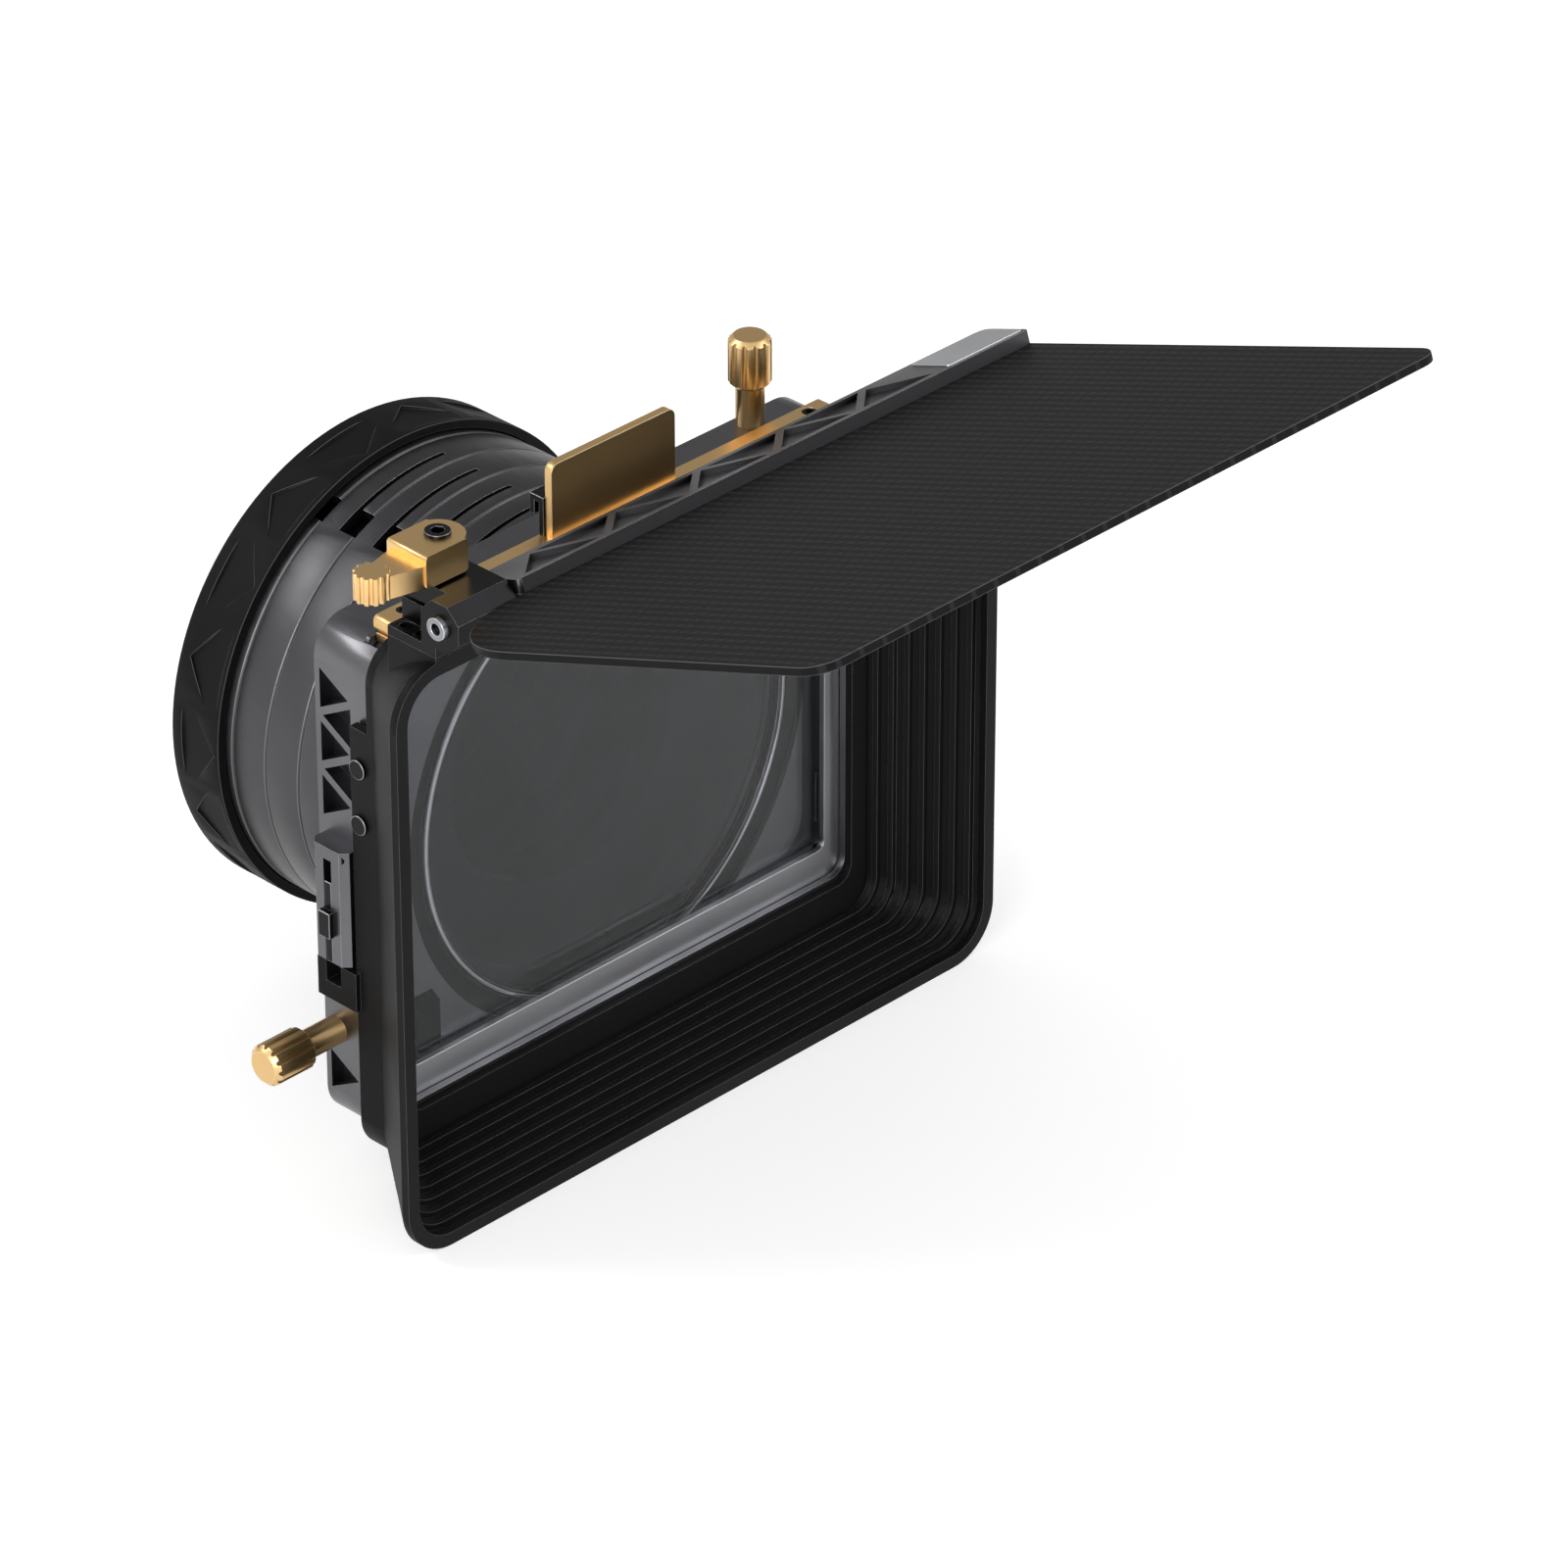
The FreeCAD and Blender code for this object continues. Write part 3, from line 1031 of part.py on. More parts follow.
def rail_screws():
    """Small screws from the rail's inner side through the sheet's edge."""
    _, _, _, bottom, inner, outer = rail_limits()
    screws = []
    z = bottom + RAIL_SCREW_HEAD_R + RAIL_SCREW_EDGE
    for index in range(RAIL_SCREW_COUNT):
        x = FLAG_WIDTH / 2 - RAIL_SCREW_FROM_END - index * RAIL_SCREW_PITCH
        head = round_y(RAIL_SCREW_HEAD_R, inner, inner - RAIL_SCREW_HEAD, x, z)
        screws.append(head.fuse(round_y(RAIL_SCREW_R, inner, outer + RAIL_SCREW_COVER, x, z)))
    return Part.makeCompound(screws)


def opened(shape):
    """Turn a piece of the flag from hanging closed to its open rest."""
    copy = shape.copy()
    copy.rotate(V(0, HINGE_Y, HINGE_Z), V(-1, 0, 0), FLAG_OPEN_ANGLE)
    return copy


for number in range(len(THREAD_STEPS)):
    save("adapter_ring_%d" % (number + 1), adapter_ring(number))
save("rear_cap", rear_cap())
save("cap_inlay", cap_inlay())

save("core_frame", core_frame())
save("light_seal", light_seal())
save("face_plate", face_plate())
save("face_plate_screws", plate_screws())
for screw_name, screw_corner in (("side", "left"), ("top", "top")):
    screw_place_point, screw_length = screw_place(screw_corner)
    save(screw_name + "_thumbscrew", placed(thumbscrew(screw_length), screw_corner))
    save(screw_name + "_screw_insert", placed(screw_insert(), screw_corner))
    save(screw_name + "_clamp_shoe", clamp_shoe(screw_corner))
save("latch_housing", latch_housing())
save("latch_catch", latch_catch())
save("latch_screws", latch_screw_bodies())

filter_ring, round_glass, retaining_ring = filter_parts()
save("filter_wheel", filter_wheel())
save("filter_ring", filter_ring)
save("round_glass", round_glass)
save("retaining_ring", retaining_ring)

save("tray_frame", tray_frame())
save("tray_trim", tray_trim())
save("tray_glass", tray_glass())
save("glass_clips", glass_clips())
save("tray_hook", tray_hook())
save("tray_screws", tray_screws())

save("hood_shell", hood_shell())
save("detent_pins", detent_pins())
save("hinge_clamp", hinge_clamp())
save("clamp_foot_screws", clamp_foot_screws())
save("clamp_washer", clamp_washer())
save("clamp_bolt", clamp_bolt())
save("clamp_lever", clamp_lever())
save("lever_screw", lever_screw())

save("flag_panel", opened(flag_panel()))
save("flag_rail", opened(flag_rail()))
save("rail_end_plate", opened(end_plate()))
save("hinge_rod", opened(hinge_rod()))
save("rail_screws", opened(rail_screws()))
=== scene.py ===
import math
import bmesh
import bpy
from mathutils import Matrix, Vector


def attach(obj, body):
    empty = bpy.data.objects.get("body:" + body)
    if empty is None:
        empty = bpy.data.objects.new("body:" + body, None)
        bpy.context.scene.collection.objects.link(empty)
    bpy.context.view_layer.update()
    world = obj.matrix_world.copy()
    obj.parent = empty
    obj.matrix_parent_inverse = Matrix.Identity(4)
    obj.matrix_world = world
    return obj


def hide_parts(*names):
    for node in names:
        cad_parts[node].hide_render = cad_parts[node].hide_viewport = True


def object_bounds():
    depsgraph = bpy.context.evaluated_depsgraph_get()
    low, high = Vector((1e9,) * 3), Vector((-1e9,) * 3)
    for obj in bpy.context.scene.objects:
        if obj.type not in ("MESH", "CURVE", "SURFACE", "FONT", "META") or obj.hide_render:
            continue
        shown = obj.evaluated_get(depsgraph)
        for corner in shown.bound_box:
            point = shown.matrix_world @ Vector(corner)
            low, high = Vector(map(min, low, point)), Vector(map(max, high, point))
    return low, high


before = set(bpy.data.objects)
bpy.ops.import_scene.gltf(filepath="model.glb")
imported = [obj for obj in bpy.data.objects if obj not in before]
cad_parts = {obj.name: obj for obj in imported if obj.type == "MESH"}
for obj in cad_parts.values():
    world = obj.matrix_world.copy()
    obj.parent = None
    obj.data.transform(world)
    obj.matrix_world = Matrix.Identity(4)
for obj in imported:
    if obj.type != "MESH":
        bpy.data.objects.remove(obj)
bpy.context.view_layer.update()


# Adapter rings
# Six turned aluminium rings clipped one behind another, each with its own lens thread on a collar behind.
# They are bead blasted and dyed dark grey, which leaves a dull, even, slightly sparkling skin.
def to_linear(hex_colour):
    """An sRGB hex colour as the linear colour that a socket takes."""
    channels = [int(hex_colour[start:start + 2], 16) / 255 for start in (1, 3, 5)]
    return [c / 12.92 if c <= 0.04045 else ((c + 0.055) / 1.055) ** 2.4 for c in channels] + [1.0]


def add(tree, kind, inputs, **settings):
    """Add a shader node, set its properties, and fill or link its inputs."""
    node = tree.nodes.new("ShaderNode" + kind)
    for name, value in settings.items():
        setattr(node, name, value)
    for socket, value in inputs.items():
        if isinstance(value, bpy.types.NodeSocket):
            tree.links.new(value, node.inputs[socket])
        else:
            node.inputs[socket].default_value = value
    return node


def new_material(name, roughness, metallic):
    """An empty material, its node tree and its surface shader."""
    material = bpy.data.materials.new(name)
    material.use_nodes = True
    shader = material.node_tree.nodes["Principled BSDF"]
    shader.inputs["Roughness"].default_value = roughness
    shader.inputs["Metallic"].default_value = metallic
    return material, material.node_tree, shader


def patchy_material(name, metallic, colour, dye_drift, roughness, roughness_drift, patch_mm, detail):
    """A material whose dye and roughness drift over wide patches, its tree and shader, and object space."""
    material, tree, shader = new_material(name, roughness, metallic)
    place = add(tree, "TexCoord", {}).outputs["Object"]
    patches = add(tree, "TexNoise", {"Vector": place, "Scale": 1000 / patch_mm, "Detail": detail})
    drifts = []
    for low_end, high_end in ((1 - dye_drift, 1 + dye_drift),
                              (roughness + roughness_drift, roughness - roughness_drift)):
        drift = add(tree, "MapRange", {"Value": patches.outputs["Fac"], "From Min": 0.3, "From Max": 0.7,
                                       "To Min": low_end, "To Max": high_end})
        drifts.append(drift.outputs["Result"])
    dye = add(tree, "Mix", {"Factor": 1.0, "A": to_linear(colour), "B": drifts[0]},
              data_type="RGBA", blend_type="MULTIPLY", name="dye")
    tree.links.new(dye.outputs["Result"], shader.inputs["Base Color"])
    tree.links.new(drifts[1], shader.inputs["Roughness"])
    return material, tree, shader, place


def stand_up(tree, shader, height, strength, height_mm):
    """Raise a fine pattern from the surface."""
    bump = add(tree, "Bump", {"Height": height, "Strength": strength, "Distance": height_mm / 1000})
    tree.links.new(bump.outputs["Normal"], shader.inputs["Normal"])


# Painted edge highlight: how far out an edge must stand before it starts to be painted lighter, and where it is
# fully so.
HIGHLIGHT_FROM = 0.505
HIGHLIGHT_FULLY = 0.53


def with_highlit_edges(material, edge_highlight_colour):
    """The material, and a copy of it for the broken edges, painted brighter where they stand out: a painted
    highlight along the edges, with a little rubbed wear too.
    """
    edge = material.copy()
    edge.name = material.name + "_edges"
    tree = edge.node_tree
    form = add(tree, "NewGeometry", {})
    # The lighter edge colour is a painted highlight standing in for light caught along the edges, with a little
    # rubbed wear as well.
    outward = add(tree, "MapRange", {"Value": form.outputs["Pointiness"],
                                     "From Min": HIGHLIGHT_FROM, "From Max": HIGHLIGHT_FULLY})
    edge_highlight = add(tree, "Mix", {"Factor": outward.outputs["Result"], "A": tree.nodes["dye"].outputs["Result"],
                               "B": to_linear(edge_highlight_colour)}, data_type="RGBA")
    tree.links.new(edge_highlight.outputs["Result"], tree.nodes["Principled BSDF"].inputs["Base Color"])
    return material, edge


def grained_metal(name, colour, edge_highlight_colour, roughness, grain_mm=0.4, depth=0.12, patchy=0.12):
    """Metal with an even fine grain, as blasting leaves it, and a finish that is lighter or darker in patches.

    The real grain is about 0.1 mm, and is drawn coarser so that it shows."""
    material, tree, shader, place = patchy_material(name, 1.0, colour, patchy, roughness, 0.05, 30, 3.0)
    grain = add(tree, "TexNoise", {"Vector": place, "Scale": 1000 / grain_mm, "Detail": 2.0})
    stand_up(tree, shader, grain.outputs["Fac"], depth, 0.1)
    return with_highlit_edges(material, edge_highlight_colour)


WELD_WITHIN = 0.000002
FLAT_WITHIN = math.radians(0.5)
SHARP_FROM = math.radians(32)


def dress(name, materials, edge_mm):
    """Give a CAD node its material and softly broken edges."""
    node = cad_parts[name]
    node.data.materials.clear()
    for material in materials:
        node.data.materials.append(material)
    weld = node.modifiers.new("weld", "WELD")
    weld.merge_threshold = WELD_WITHIN
    flats = node.modifiers.new("flats", "DECIMATE")
    flats.decimate_type = "DISSOLVE"
    flats.angle_limit = FLAT_WITHIN
    edges = node.modifiers.new("edges", "BEVEL")
    edges.width = edge_mm / 1000
    edges.segments = 2
    edges.limit_method = "ANGLE"
    edges.angle_limit = SHARP_FROM
    edges.harden_normals = True
    edges.material = len(materials) - 1


def show(name, data):
    """A new object in the scene."""
    shown = bpy.data.objects.new(name, data)
    bpy.context.scene.collection.objects.link(shown)
    return shown


def show_mesh(name, mesh, material):
    """A new object in the scene, made from a mesh under construction."""
    data = bpy.data.meshes.new(name)
    mesh.to_mesh(data)
    mesh.free()
    data.materials.append(material)
    return show(name, data)


THREAD_PITCH = 0.001
THREAD_HEIGHT = 0.00035
THREAD_TURNS = 2.6
THREAD_STEPS_A_TURN = 72
THREAD_FROM_END = 0.6
THREAD_FADE_STEPS = 12
THREAD_LEAST = 0.02
THREAD_SUNK = -0.1
THREAD_HALF_FOOT = 0.46
THREAD_HALF_CREST = 0.06


def thread_ridge(number, material):
    """The helical ridge cut on a ring's collar, which fades in and out at its ends."""
    corners = [corner.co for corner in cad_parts["adapter_ring_%d" % number].data.vertices]
    collar_end = max(corner.y for corner in corners)
    collar_r = max(math.hypot(corner.x, corner.z) for corner in corners if corner.y > collar_end - THREAD_PITCH)
    mesh = bmesh.new()
    sections = []
    steps = int(THREAD_TURNS * THREAD_STEPS_A_TURN)
    for step in range(steps + 1):
        angle = 2 * math.pi * step / THREAD_STEPS_A_TURN
        middle_y = collar_end - THREAD_PITCH * (THREAD_FROM_END + step / THREAD_STEPS_A_TURN)
        grown = min(1.0, *(count / THREAD_FADE_STEPS + THREAD_LEAST for count in (step, steps - step)))
        section = []
        for reach, shift in ((THREAD_SUNK, -THREAD_HALF_FOOT), (grown, -THREAD_HALF_CREST),
                             (grown, THREAD_HALF_CREST), (THREAD_SUNK, THREAD_HALF_FOOT)):
            radius = collar_r + THREAD_HEIGHT * reach
            section.append(mesh.verts.new((radius * math.cos(angle), middle_y + THREAD_PITCH * shift,
                                           radius * math.sin(angle))))
        sections.append(section)
    for before, after in zip(sections, sections[1:]):
        for index in range(4):
            beside = (index + 1) % 4
            mesh.faces.new((before[index], after[index], after[beside], before[beside]))
    mesh.faces.new(sections[0])
    mesh.faces.new(sections[-1])
    bmesh.ops.recalc_face_normals(mesh, faces=mesh.faces)
    ridge = show_mesh("thread_ridge_%d" % number, mesh, material)
    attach(ridge, "ring_%d" % number)


# Each material's second colour is the painted highlight on its broken edges, with a little rubbed wear.
ring_metal = grained_metal("blasted_dark_anodised_aluminium", "#505052", "#8e8e91", 0.4)
for number in range(1, 7):
    dress("adapter_ring_%d" % number, ring_metal, 0.2)
    thread_ridge(number, ring_metal[0])


# Rear cap
# A shallow cap moulded in matt black nylon, pushed over the last ring, with low triangles round its side.
# A gold bar of anodised aluminium is glued flush in its dished face.
def moulded_nylon(name, colour, edge_highlight_colour, roughness):
    """Glass-filled nylon from an eroded mould: a fine pebble that breaks up the sheen.

    The pebble is really about 0.15 mm, and is drawn coarser so that it shows."""
    material, tree, shader, place = patchy_material(name, 0.0, colour, 0.15, roughness, 0.06, 45, 4.0)
    pebble = add(tree, "TexVoronoi", {"Vector": place, "Scale": 1000 / 0.5}, feature="SMOOTH_F1")
    stand_up(tree, shader, pebble.outputs["Distance"], 0.15, 0.1)
    shader.inputs["IOR"].default_value = 1.53
    shader.inputs["Specular IOR Level"].default_value = 0.1
    return with_highlit_edges(material, edge_highlight_colour)


cap_nylon = moulded_nylon("moulded_matt_black_nylon", "#131314", "#4a4a4c", 0.6)
gold_metal = grained_metal("satin_gold_anodised_aluminium", "#e2bd84", "#f6e3ba", 0.36, depth=0.02, patchy=0.03)
dress("rear_cap", cap_nylon, 0.35)
dress("cap_inlay", gold_metal, 0.1)


# Core
# The milled aluminium frame that everything clips to, blasted and dyed dark grey like the rings.
# A thin face plate held by four black screws closes the filter wheel in, and a foam ring seals the light.
core_metal = grained_metal("milled_dark_anodised_aluminium", "#68686b", "#b4b4b7", 0.34)
screw_steel = grained_metal("black_oxide_steel", "#242425", "#7a7a7c", 0.35, grain_mm=0.3, depth=0.1)
seal_foam, foam_tree, foam_shader = new_material("closed_cell_foam", 0.95, 0.0)
foam_shader.inputs["Base Color"].default_value = to_linear("#161616")
foam_place = add(foam_tree, "TexCoord", {}).outputs["Object"]
foam_cells = add(foam_tree, "TexVoronoi", {"Vector": foam_place, "Scale": 1000 / 0.6})
stand_up(foam_tree, foam_shader, foam_cells.outputs["Distance"], 0.6, 0.2)


def loose_parts(name):
    """The corner points of each separate lump of a CAD node."""
    mesh = bmesh.new()
    mesh.from_mesh(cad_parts[name].data)
    bmesh.ops.remove_doubles(mesh, verts=mesh.verts, dist=WELD_WITHIN)
    waiting = dict.fromkeys(mesh.verts)
    lumps = []
    while waiting:
        reached = [waiting.popitem()[0]]
        lump = []
        while reached:
            corner = reached.pop()
            lump.append(corner.co.copy())
            for edge in corner.link_edges:
                other = edge.other_vert(corner)
                if other in waiting:
                    del waiting[other]
                    reached.append(other)
        lumps.append(lump)
    mesh.free()
    return lumps


SCREW_SIDES = 36
SAME_PLANE = 0.00001
SCREW_SMOOTH_BELOW = math.radians(35)


def socket_screw(mesh, lump, outward):
    """Add a button-headed socket screw to a mesh, in the place and size of a plain CAD screw."""
    depths = [point.dot(outward) for point in lump]
    top = max(depths)
    rim = [point for point, depth in zip(lump, depths) if depth > top - SAME_PLANE]
    centre = sum(rim, Vector()) / len(rim)
    head_r = max((point - centre).length for point in rim)
    wide = []
    narrow = []
    for point, depth in zip(lump, depths):
        off_axis = (point - centre - outward * (depth - top)).length
        (wide if off_axis > head_r * 0.9 else narrow).append((depth, off_axis))
    head_h = top - min(depth for depth, _ in wide)
    shank = [off_axis for depth, off_axis in narrow if depth < top - head_h * 1.2]
    shank_r = max(shank) if shank else head_r
    soft = head_r * 0.22
    socket_r = head_r * 0.55
    socket_bottom_r = socket_r * 0.96
    socket_deep = min(head_h * 0.7, head_r * 0.6)
    length = top - min(depths)
    rings = [(socket_bottom_r, socket_deep, True), (socket_r, 0.0, True), (head_r - soft, 0.0, False),
             (head_r - soft * 0.3, soft * 0.3, False), (head_r, soft, False)]
    if shank_r < head_r:
        rings += [(head_r, head_h, False), (shank_r, head_h, False)]
    rings.append((shank_r, length, False))
    turn = outward.to_track_quat("Z", "Y")
    loops = []
    for radius, deep, hexagon in rings:
        loop = []
        for index in range(SCREW_SIDES):
            angle = 2 * math.pi * index / SCREW_SIDES
            reach = radius
            if hexagon:
                reach = radius * math.cos(math.pi / 6) / math.cos(angle % (math.pi / 3) - math.pi / 6)
            point = Vector((reach * math.cos(angle), reach * math.sin(angle), -deep))
            loop.append(mesh.verts.new(centre + turn @ point))
        loops.append(loop)
    for inner, outer in zip(loops, loops[1:]):
        for index in range(SCREW_SIDES):
            after = (index + 1) % SCREW_SIDES
            mesh.faces.new((inner[index], outer[index], outer[after], inner[after]))
    mesh.faces.new(loops[0])
    mesh.faces.new(loops[-1])


def socket_screws(name, body, outward):
    """Stand detailed socket screws in for a CAD node of plain ones."""
    mesh = bmesh.new()
    for lump in loose_parts(name):
        socket_screw(mesh, lump, Vector(outward).normalized())
    bmesh.ops.recalc_face_normals(mesh, faces=mesh.faces)
    for face in mesh.faces:
        face.smooth = True
    for edge in mesh.edges:
        edge.smooth = edge.calc_face_angle(0.0) < SCREW_SMOOTH_BELOW
    screws = show_mesh(name + "_turned", mesh, screw_steel[0])
    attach(screws, body)
    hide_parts(name)


dress("core_frame", core_metal, 0.35)
dress("face_plate", core_metal, 0.12)
dress("light_seal", (seal_foam,), 0.1)
socket_screws("face_plate_screws", "core", (0, -1, 0))


# Thumbscrews
# Two knurled gold thumbscrews with brass inserts in the core's walls push black shoes against the ring.
# They are turned from aluminium and anodised, with bright satin flanks between the grooves.
black_metal = grained_metal("blasted_black_anodised_aluminium", "#1f1f20", "#8c8c8f", 0.34)
brass = grained_metal("turned_brass", "#c79a4e", "#e0c080", 0.3, depth=0.03, patchy=0.05)
for side in ("side", "top"):
    dress(side + "_thumbscrew", gold_metal, 0.15)
    dress(side + "_screw_insert", brass, 0.15)
    dress(side + "_clamp_shoe", black_metal, 0.2)


# Side latch
# A small block screwed to the left wall, with a sliding catch that drops into the hood's lug.
# The block is dyed like the core, and the catch is black.
dress("latch_housing", core_metal, 0.3)
dress("latch_catch", black_metal, 0.2)
socket_screws("latch_screws", "core", (-1, 0, 0))


# Rotating filter
# A round filter with a thin silver ring, carried by a black wheel whose knurled rim is turned by a finger.
# Its glass is neutral grey and coated, which takes most of the shine from it.
def coated_glass(name, colour):
    """Polished filter glass with an anti-reflection coat, and the faint darker patches that wiping leaves."""
    material, tree, shader = new_material(name, 0.0, 0.0)
    place = add(tree, "TexCoord", {}).outputs["Object"]
    wiped = add(tree, "TexNoise", {"Vector": place, "Scale": 1000 / 25, "Detail": 3.0, "Distortion": 1.0})
    haze = add(tree, "MapRange", {"Value": wiped.outputs["Fac"], "From Min": 0.45, "From Max": 0.75,
                                  "To Min": 1.0, "To Max": 0.94})
    tinted = add(tree, "Mix", {"Factor": 1.0, "A": to_linear(colour), "B": haze.outputs["Result"]},
                 data_type="RGBA", blend_type="MULTIPLY")
    tree.links.new(tinted.outputs["Result"], shader.inputs["Base Color"])
    shader.inputs["Transmission Weight"].default_value = 1.0
    shader.inputs["IOR"].default_value = 1.52
    shader.inputs["Specular Tint"].default_value = to_linear("#5c605f")
    return (material,)


silver_metal = grained_metal("blasted_clear_anodised_aluminium", "#a9aaae", "#dcdde0", 0.33, depth=0.1,
                             patchy=0.06)
dress("filter_wheel", black_metal, 0.15)
dress("filter_ring", silver_metal, 0.2)
dress("round_glass", coated_glass("coated_neutral_grey_glass", "#9c9c9e"), 0.1)
dress("retaining_ring", black_metal, 0.1)


# Filter tray
# A flat silver frame that slides down into the core, with clear coated glass clipped in from behind.
# A gold strip with a pull tab is screwed along its top, and a black hook catches behind the tab.
dress("tray_frame", silver_metal, 0.25)
dress("tray_trim", gold_metal, 0.25)
dress("tray_glass", coated_glass("coated_clear_glass", "#dedfe1"), 0.1)
dress("glass_clips", screw_steel, 0.1)
dress("tray_hook", black_metal, 0.15)
socket_screws("tray_screws", "tray", (0, 0, 1))


# Hood
# The flared shade moulded in black nylon, with light-trapping ribs inside and a lip that slips on the core.
# Two black pins through each side of the lip click it in place.
# The hood's broken edges are painted light grey as a painted highlight on the black nylon.
hood_nylon = moulded_nylon("moulded_black_nylon", "#111112", "#808082", 0.55)
dress("hood_shell", hood_nylon, 0.45)
dress("detent_pins", black_metal, 0.2)


# Hinge clamp and lever
# A split black barrel on the hood's top left corner grips the flag's rod when the gold lever is turned.
# The lever sits on its bolt over a washer, under a low socket screw.
dress("hinge_clamp", black_metal, 0.35)
socket_screws("clamp_foot_screws", "hood", (0, 0, 1))
dress("clamp_washer", screw_steel, 0.1)
dress("clamp_bolt", screw_steel, 0.1)
dress("clamp_lever", gold_metal, 0.3)
dress("lever_screw", screw_steel, 0.15)


# Top flag
# A stiff sheet of woven carbon laminate in a black rail with a truss relief, on a ground steel rod.
# A bare silver plate is let into the rail's right end.
WEAVE_PITCH = 0.003
DASH_ACROSS = (0.7, 0.9)
DASH_ALONG = (0.25, 0.45)
FLAG_TILT = math.radians(20)


def woven_carbon(name):
    """Woven carbon under matt resin: only the crowns of the tows show, as faint dashes in staggered columns."""
    material, tree, shader = new_material(name, 0.55, 0.0)
    place = add(tree, "TexCoord", {}).outputs["Object"]
    flat = add(tree, "Mapping", {"Vector": place, "Rotation": (FLAG_TILT, 0.0, 0.0)}).outputs["Vector"]
    split = add(tree, "SeparateXYZ", {"Vector": flat})

    def maths(operation, first, second=0.5):
        return add(tree, "Math", {0: first, 1: second}, operation=operation).outputs[0]

    column = maths("DIVIDE", split.outputs["X"], WEAVE_PITCH)
    stagger = maths("MULTIPLY", maths("FLOOR", column), 0.5)
    row = maths("ADD", maths("DIVIDE", split.outputs["Y"], WEAVE_PITCH), stagger)
    shows = []
    for count, (begin, end) in ((column, DASH_ACROSS), (row, DASH_ALONG)):
        crown = maths("ABSOLUTE", maths("SINE", maths("MULTIPLY", count, math.pi)))
        edge = add(tree, "MapRange", {"Value": crown, "From Min": begin, "From Max": end})
        shows.append(edge.outputs["Result"])
    dash = maths("MULTIPLY", shows[0], shows[1])
    dye = add(tree, "Mix", {"Factor": dash, "A": to_linear("#1b1b1c"), "B": to_linear("#2b2b2c")},
              data_type="RGBA", name="dye")
    tree.links.new(dye.outputs["Result"], shader.inputs["Base Color"])
    stand_up(tree, shader, dash, 0.2, 0.2)
    shader.inputs["Specular IOR Level"].default_value = 0.04
    # The panel's broken edges carry a painted highlight.
    return with_highlit_edges(material, "#5a5a5c")


dress("flag_panel", woven_carbon("woven_carbon_laminate"), 0.3)
rail_metal = grained_metal("blasted_charcoal_anodised_aluminium", "#48484a", "#a4a4a7", 0.38)
dress("flag_rail", rail_metal, 0.3)
dress("rail_end_plate", silver_metal, 0.1)
rod_steel = grained_metal("ground_steel", "#8d8e92", "#b5b6ba", 0.25, depth=0.04, patchy=0.05)
dress("hinge_rod", rod_steel, 0.2)
socket_screws("rail_screws", "flag", (0, -math.sin(FLAG_TILT), -math.cos(FLAG_TILT)))


# Studio
# A plain white sweep that fades into a white surround, with three soft lights beside and behind the object.
# The floor glows only for what looks at it, so that it stays white without lighting the object from below.
FLOOR_SIZE = 12.0
FLOOR_GLOW = 0.45
low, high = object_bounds()
middle = (Vector(low) + Vector(high)) / 2
floor_corners = [(x * FLOOR_SIZE, y * FLOOR_SIZE, low[2]) for x, y in ((-1, -1), (1, -1), (1, 1), (-1, 1))]
floor_mesh = bpy.data.meshes.new("floor")
floor_mesh.from_pydata(floor_corners, [], [(0, 1, 2, 3)])
floor = show("floor", floor_mesh)
floor_paint, floor_tree, floor_shader = new_material("white_paper", 0.9, 0.0)
floor_shader.inputs["Base Color"].default_value = to_linear("#e8e8e8")
floor_shader.inputs["Specular IOR Level"].default_value = 0.0
rays = add(floor_tree, "LightPath", {})
seen = add(floor_tree, "Math", {0: rays.outputs["Is Camera Ray"], 1: rays.outputs["Is Glossy Ray"]},
           operation="ADD")
seen = add(floor_tree, "Math", {0: seen.outputs[0], 1: rays.outputs["Is Transmission Ray"]}, operation="ADD",
           use_clamp=True)
glow = add(floor_tree, "Math", {0: seen.outputs[0], 1: FLOOR_GLOW}, operation="MULTIPLY")
floor_shader.inputs["Emission Color"].default_value = to_linear("#ffffff")
floor_tree.links.new(glow.outputs[0], floor_shader.inputs["Emission Strength"])
floor_mesh.materials.append(floor_paint)

# The room shows white to the camera and through glass. In metal it falls off away from the lit side.
LIT_SIDE = Vector((-0.6, -0.6, -0.5)).normalized()
ROOM_ON_MATT = 0.5
ROOM_IN_METAL = (0.35, 1.0)
world = bpy.data.worlds.new("studio")
world.use_nodes = True
bpy.context.scene.world = world
sky = world.node_tree
sky_rays = add(sky, "LightPath", {})
facing = add(sky, "VectorMath", {0: add(sky, "TexCoord", {}).outputs["Generated"], 1: LIT_SIDE},
             operation="DOT_PRODUCT")
falloff = add(sky, "MapRange", {"Value": facing.outputs["Value"], "From Min": -1.0, "From Max": 0.2,
                                "To Min": ROOM_IN_METAL[0], "To Max": ROOM_IN_METAL[1]})
indirect = add(sky, "Mix", {"Factor": sky_rays.outputs["Is Glossy Ray"], "A": ROOM_ON_MATT,
                            "B": falloff.outputs["Result"]}, data_type="FLOAT")
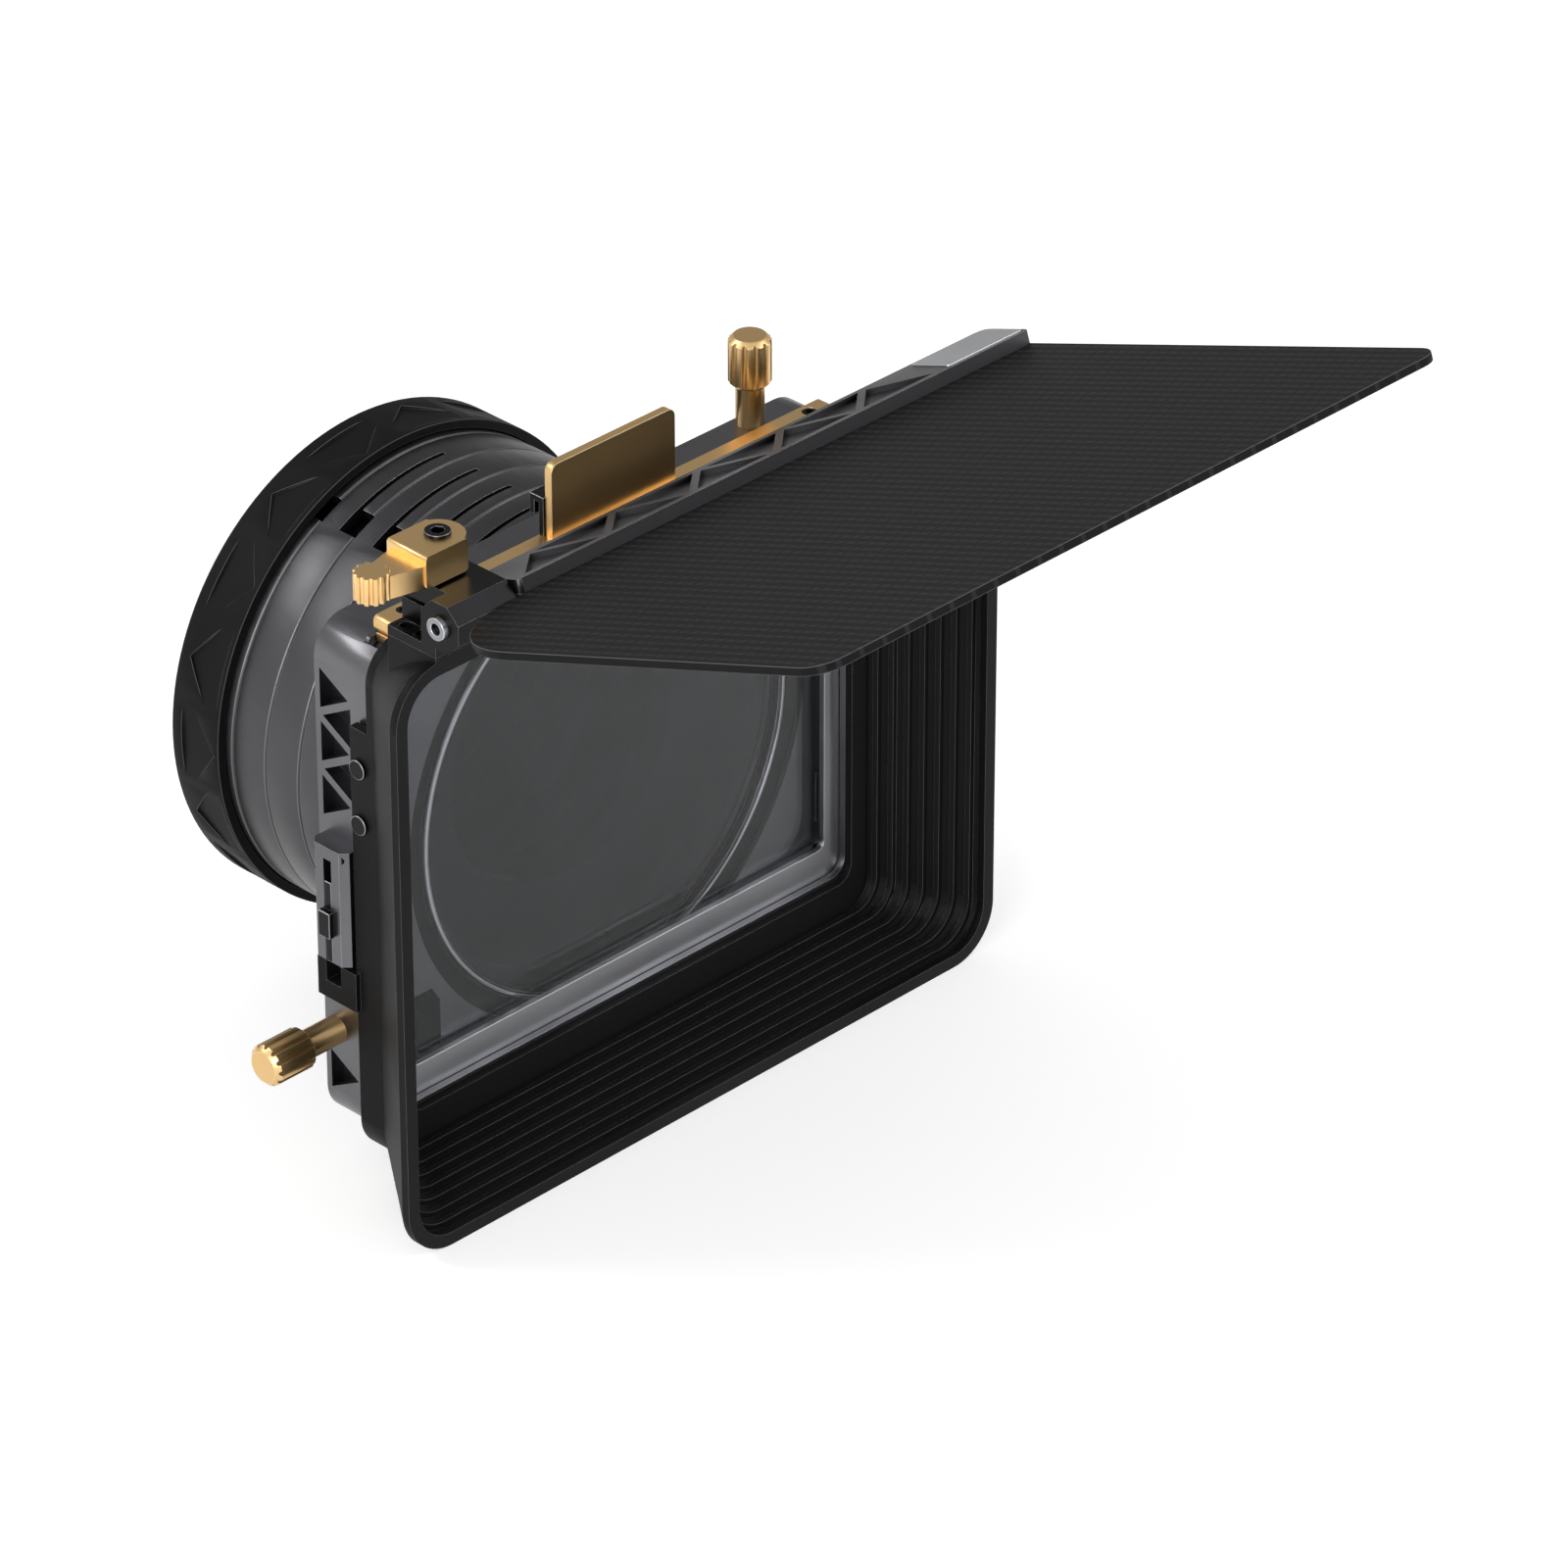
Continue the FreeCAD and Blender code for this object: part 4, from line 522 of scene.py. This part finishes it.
direct = add(sky, "Math", {0: sky_rays.outputs["Is Camera Ray"], 1: sky_rays.outputs["Is Transmission Ray"]},
             operation="ADD", use_clamp=True)
level = add(sky, "Mix", {"Factor": direct.outputs[0], "A": indirect.outputs["Result"], "B": 1.0},
            data_type="FLOAT")
sky.links.new(level.outputs["Result"], sky.nodes["Background"].inputs["Strength"])
sky.nodes["Background"].inputs["Color"].default_value = to_linear("#ffffff")


def soft_light(name, place, size, power):
    """A square soft light aimed at the object's middle."""
    lamp = bpy.data.lights.new(name, "AREA")
    lamp.size = size
    lamp.energy = power
    light = show(name, lamp)
    light.location = middle + Vector(place)
    light.rotation_euler = (-Vector(place)).to_track_quat("-Z", "Y").to_euler()


soft_light("left", (-1.4, -0.6, 0.5), 0.8, 12)
soft_light("back", (-0.8, 1.0, 1.1), 0.6, 8)
soft_light("right", (1.0, -1.2, 0.9), 0.9, 11)

# Camera
# A long lens on the photograph's own angle, down over the front left corner, centred on what it sees.
AZIMUTH = math.radians(-45.5)
ELEVATION = math.radians(31)
FOCAL_LENGTH = 200
FILM_WIDTH = 36
FILLED = 0.8
toward_camera = Vector((math.sin(AZIMUTH) * math.cos(ELEVATION), -math.cos(AZIMUTH) * math.cos(ELEVATION),
                        math.sin(ELEVATION)))
right = Vector((math.cos(AZIMUTH), math.sin(AZIMUTH), 0))
aim = middle.copy()
span = 0
for direction in (right, toward_camera.cross(right)):
    places = [corner.co.dot(direction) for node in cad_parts.values() for corner in node.data.vertices]
    aim += direction * ((min(places) + max(places)) / 2 - middle.dot(direction))
    span = max(span, max(places) - min(places))
lens = bpy.data.cameras.new("camera")
lens.lens = FOCAL_LENGTH
lens.sensor_width = FILM_WIDTH
lens.clip_end = 100
camera = show("camera", lens)
camera.location = aim + toward_camera * (span * FOCAL_LENGTH / FILM_WIDTH / FILLED)
camera.rotation_euler = toward_camera.to_track_quat("Z", "Y").to_euler()
bpy.context.scene.camera = camera
bpy.context.scene.view_settings.view_transform = "Standard"
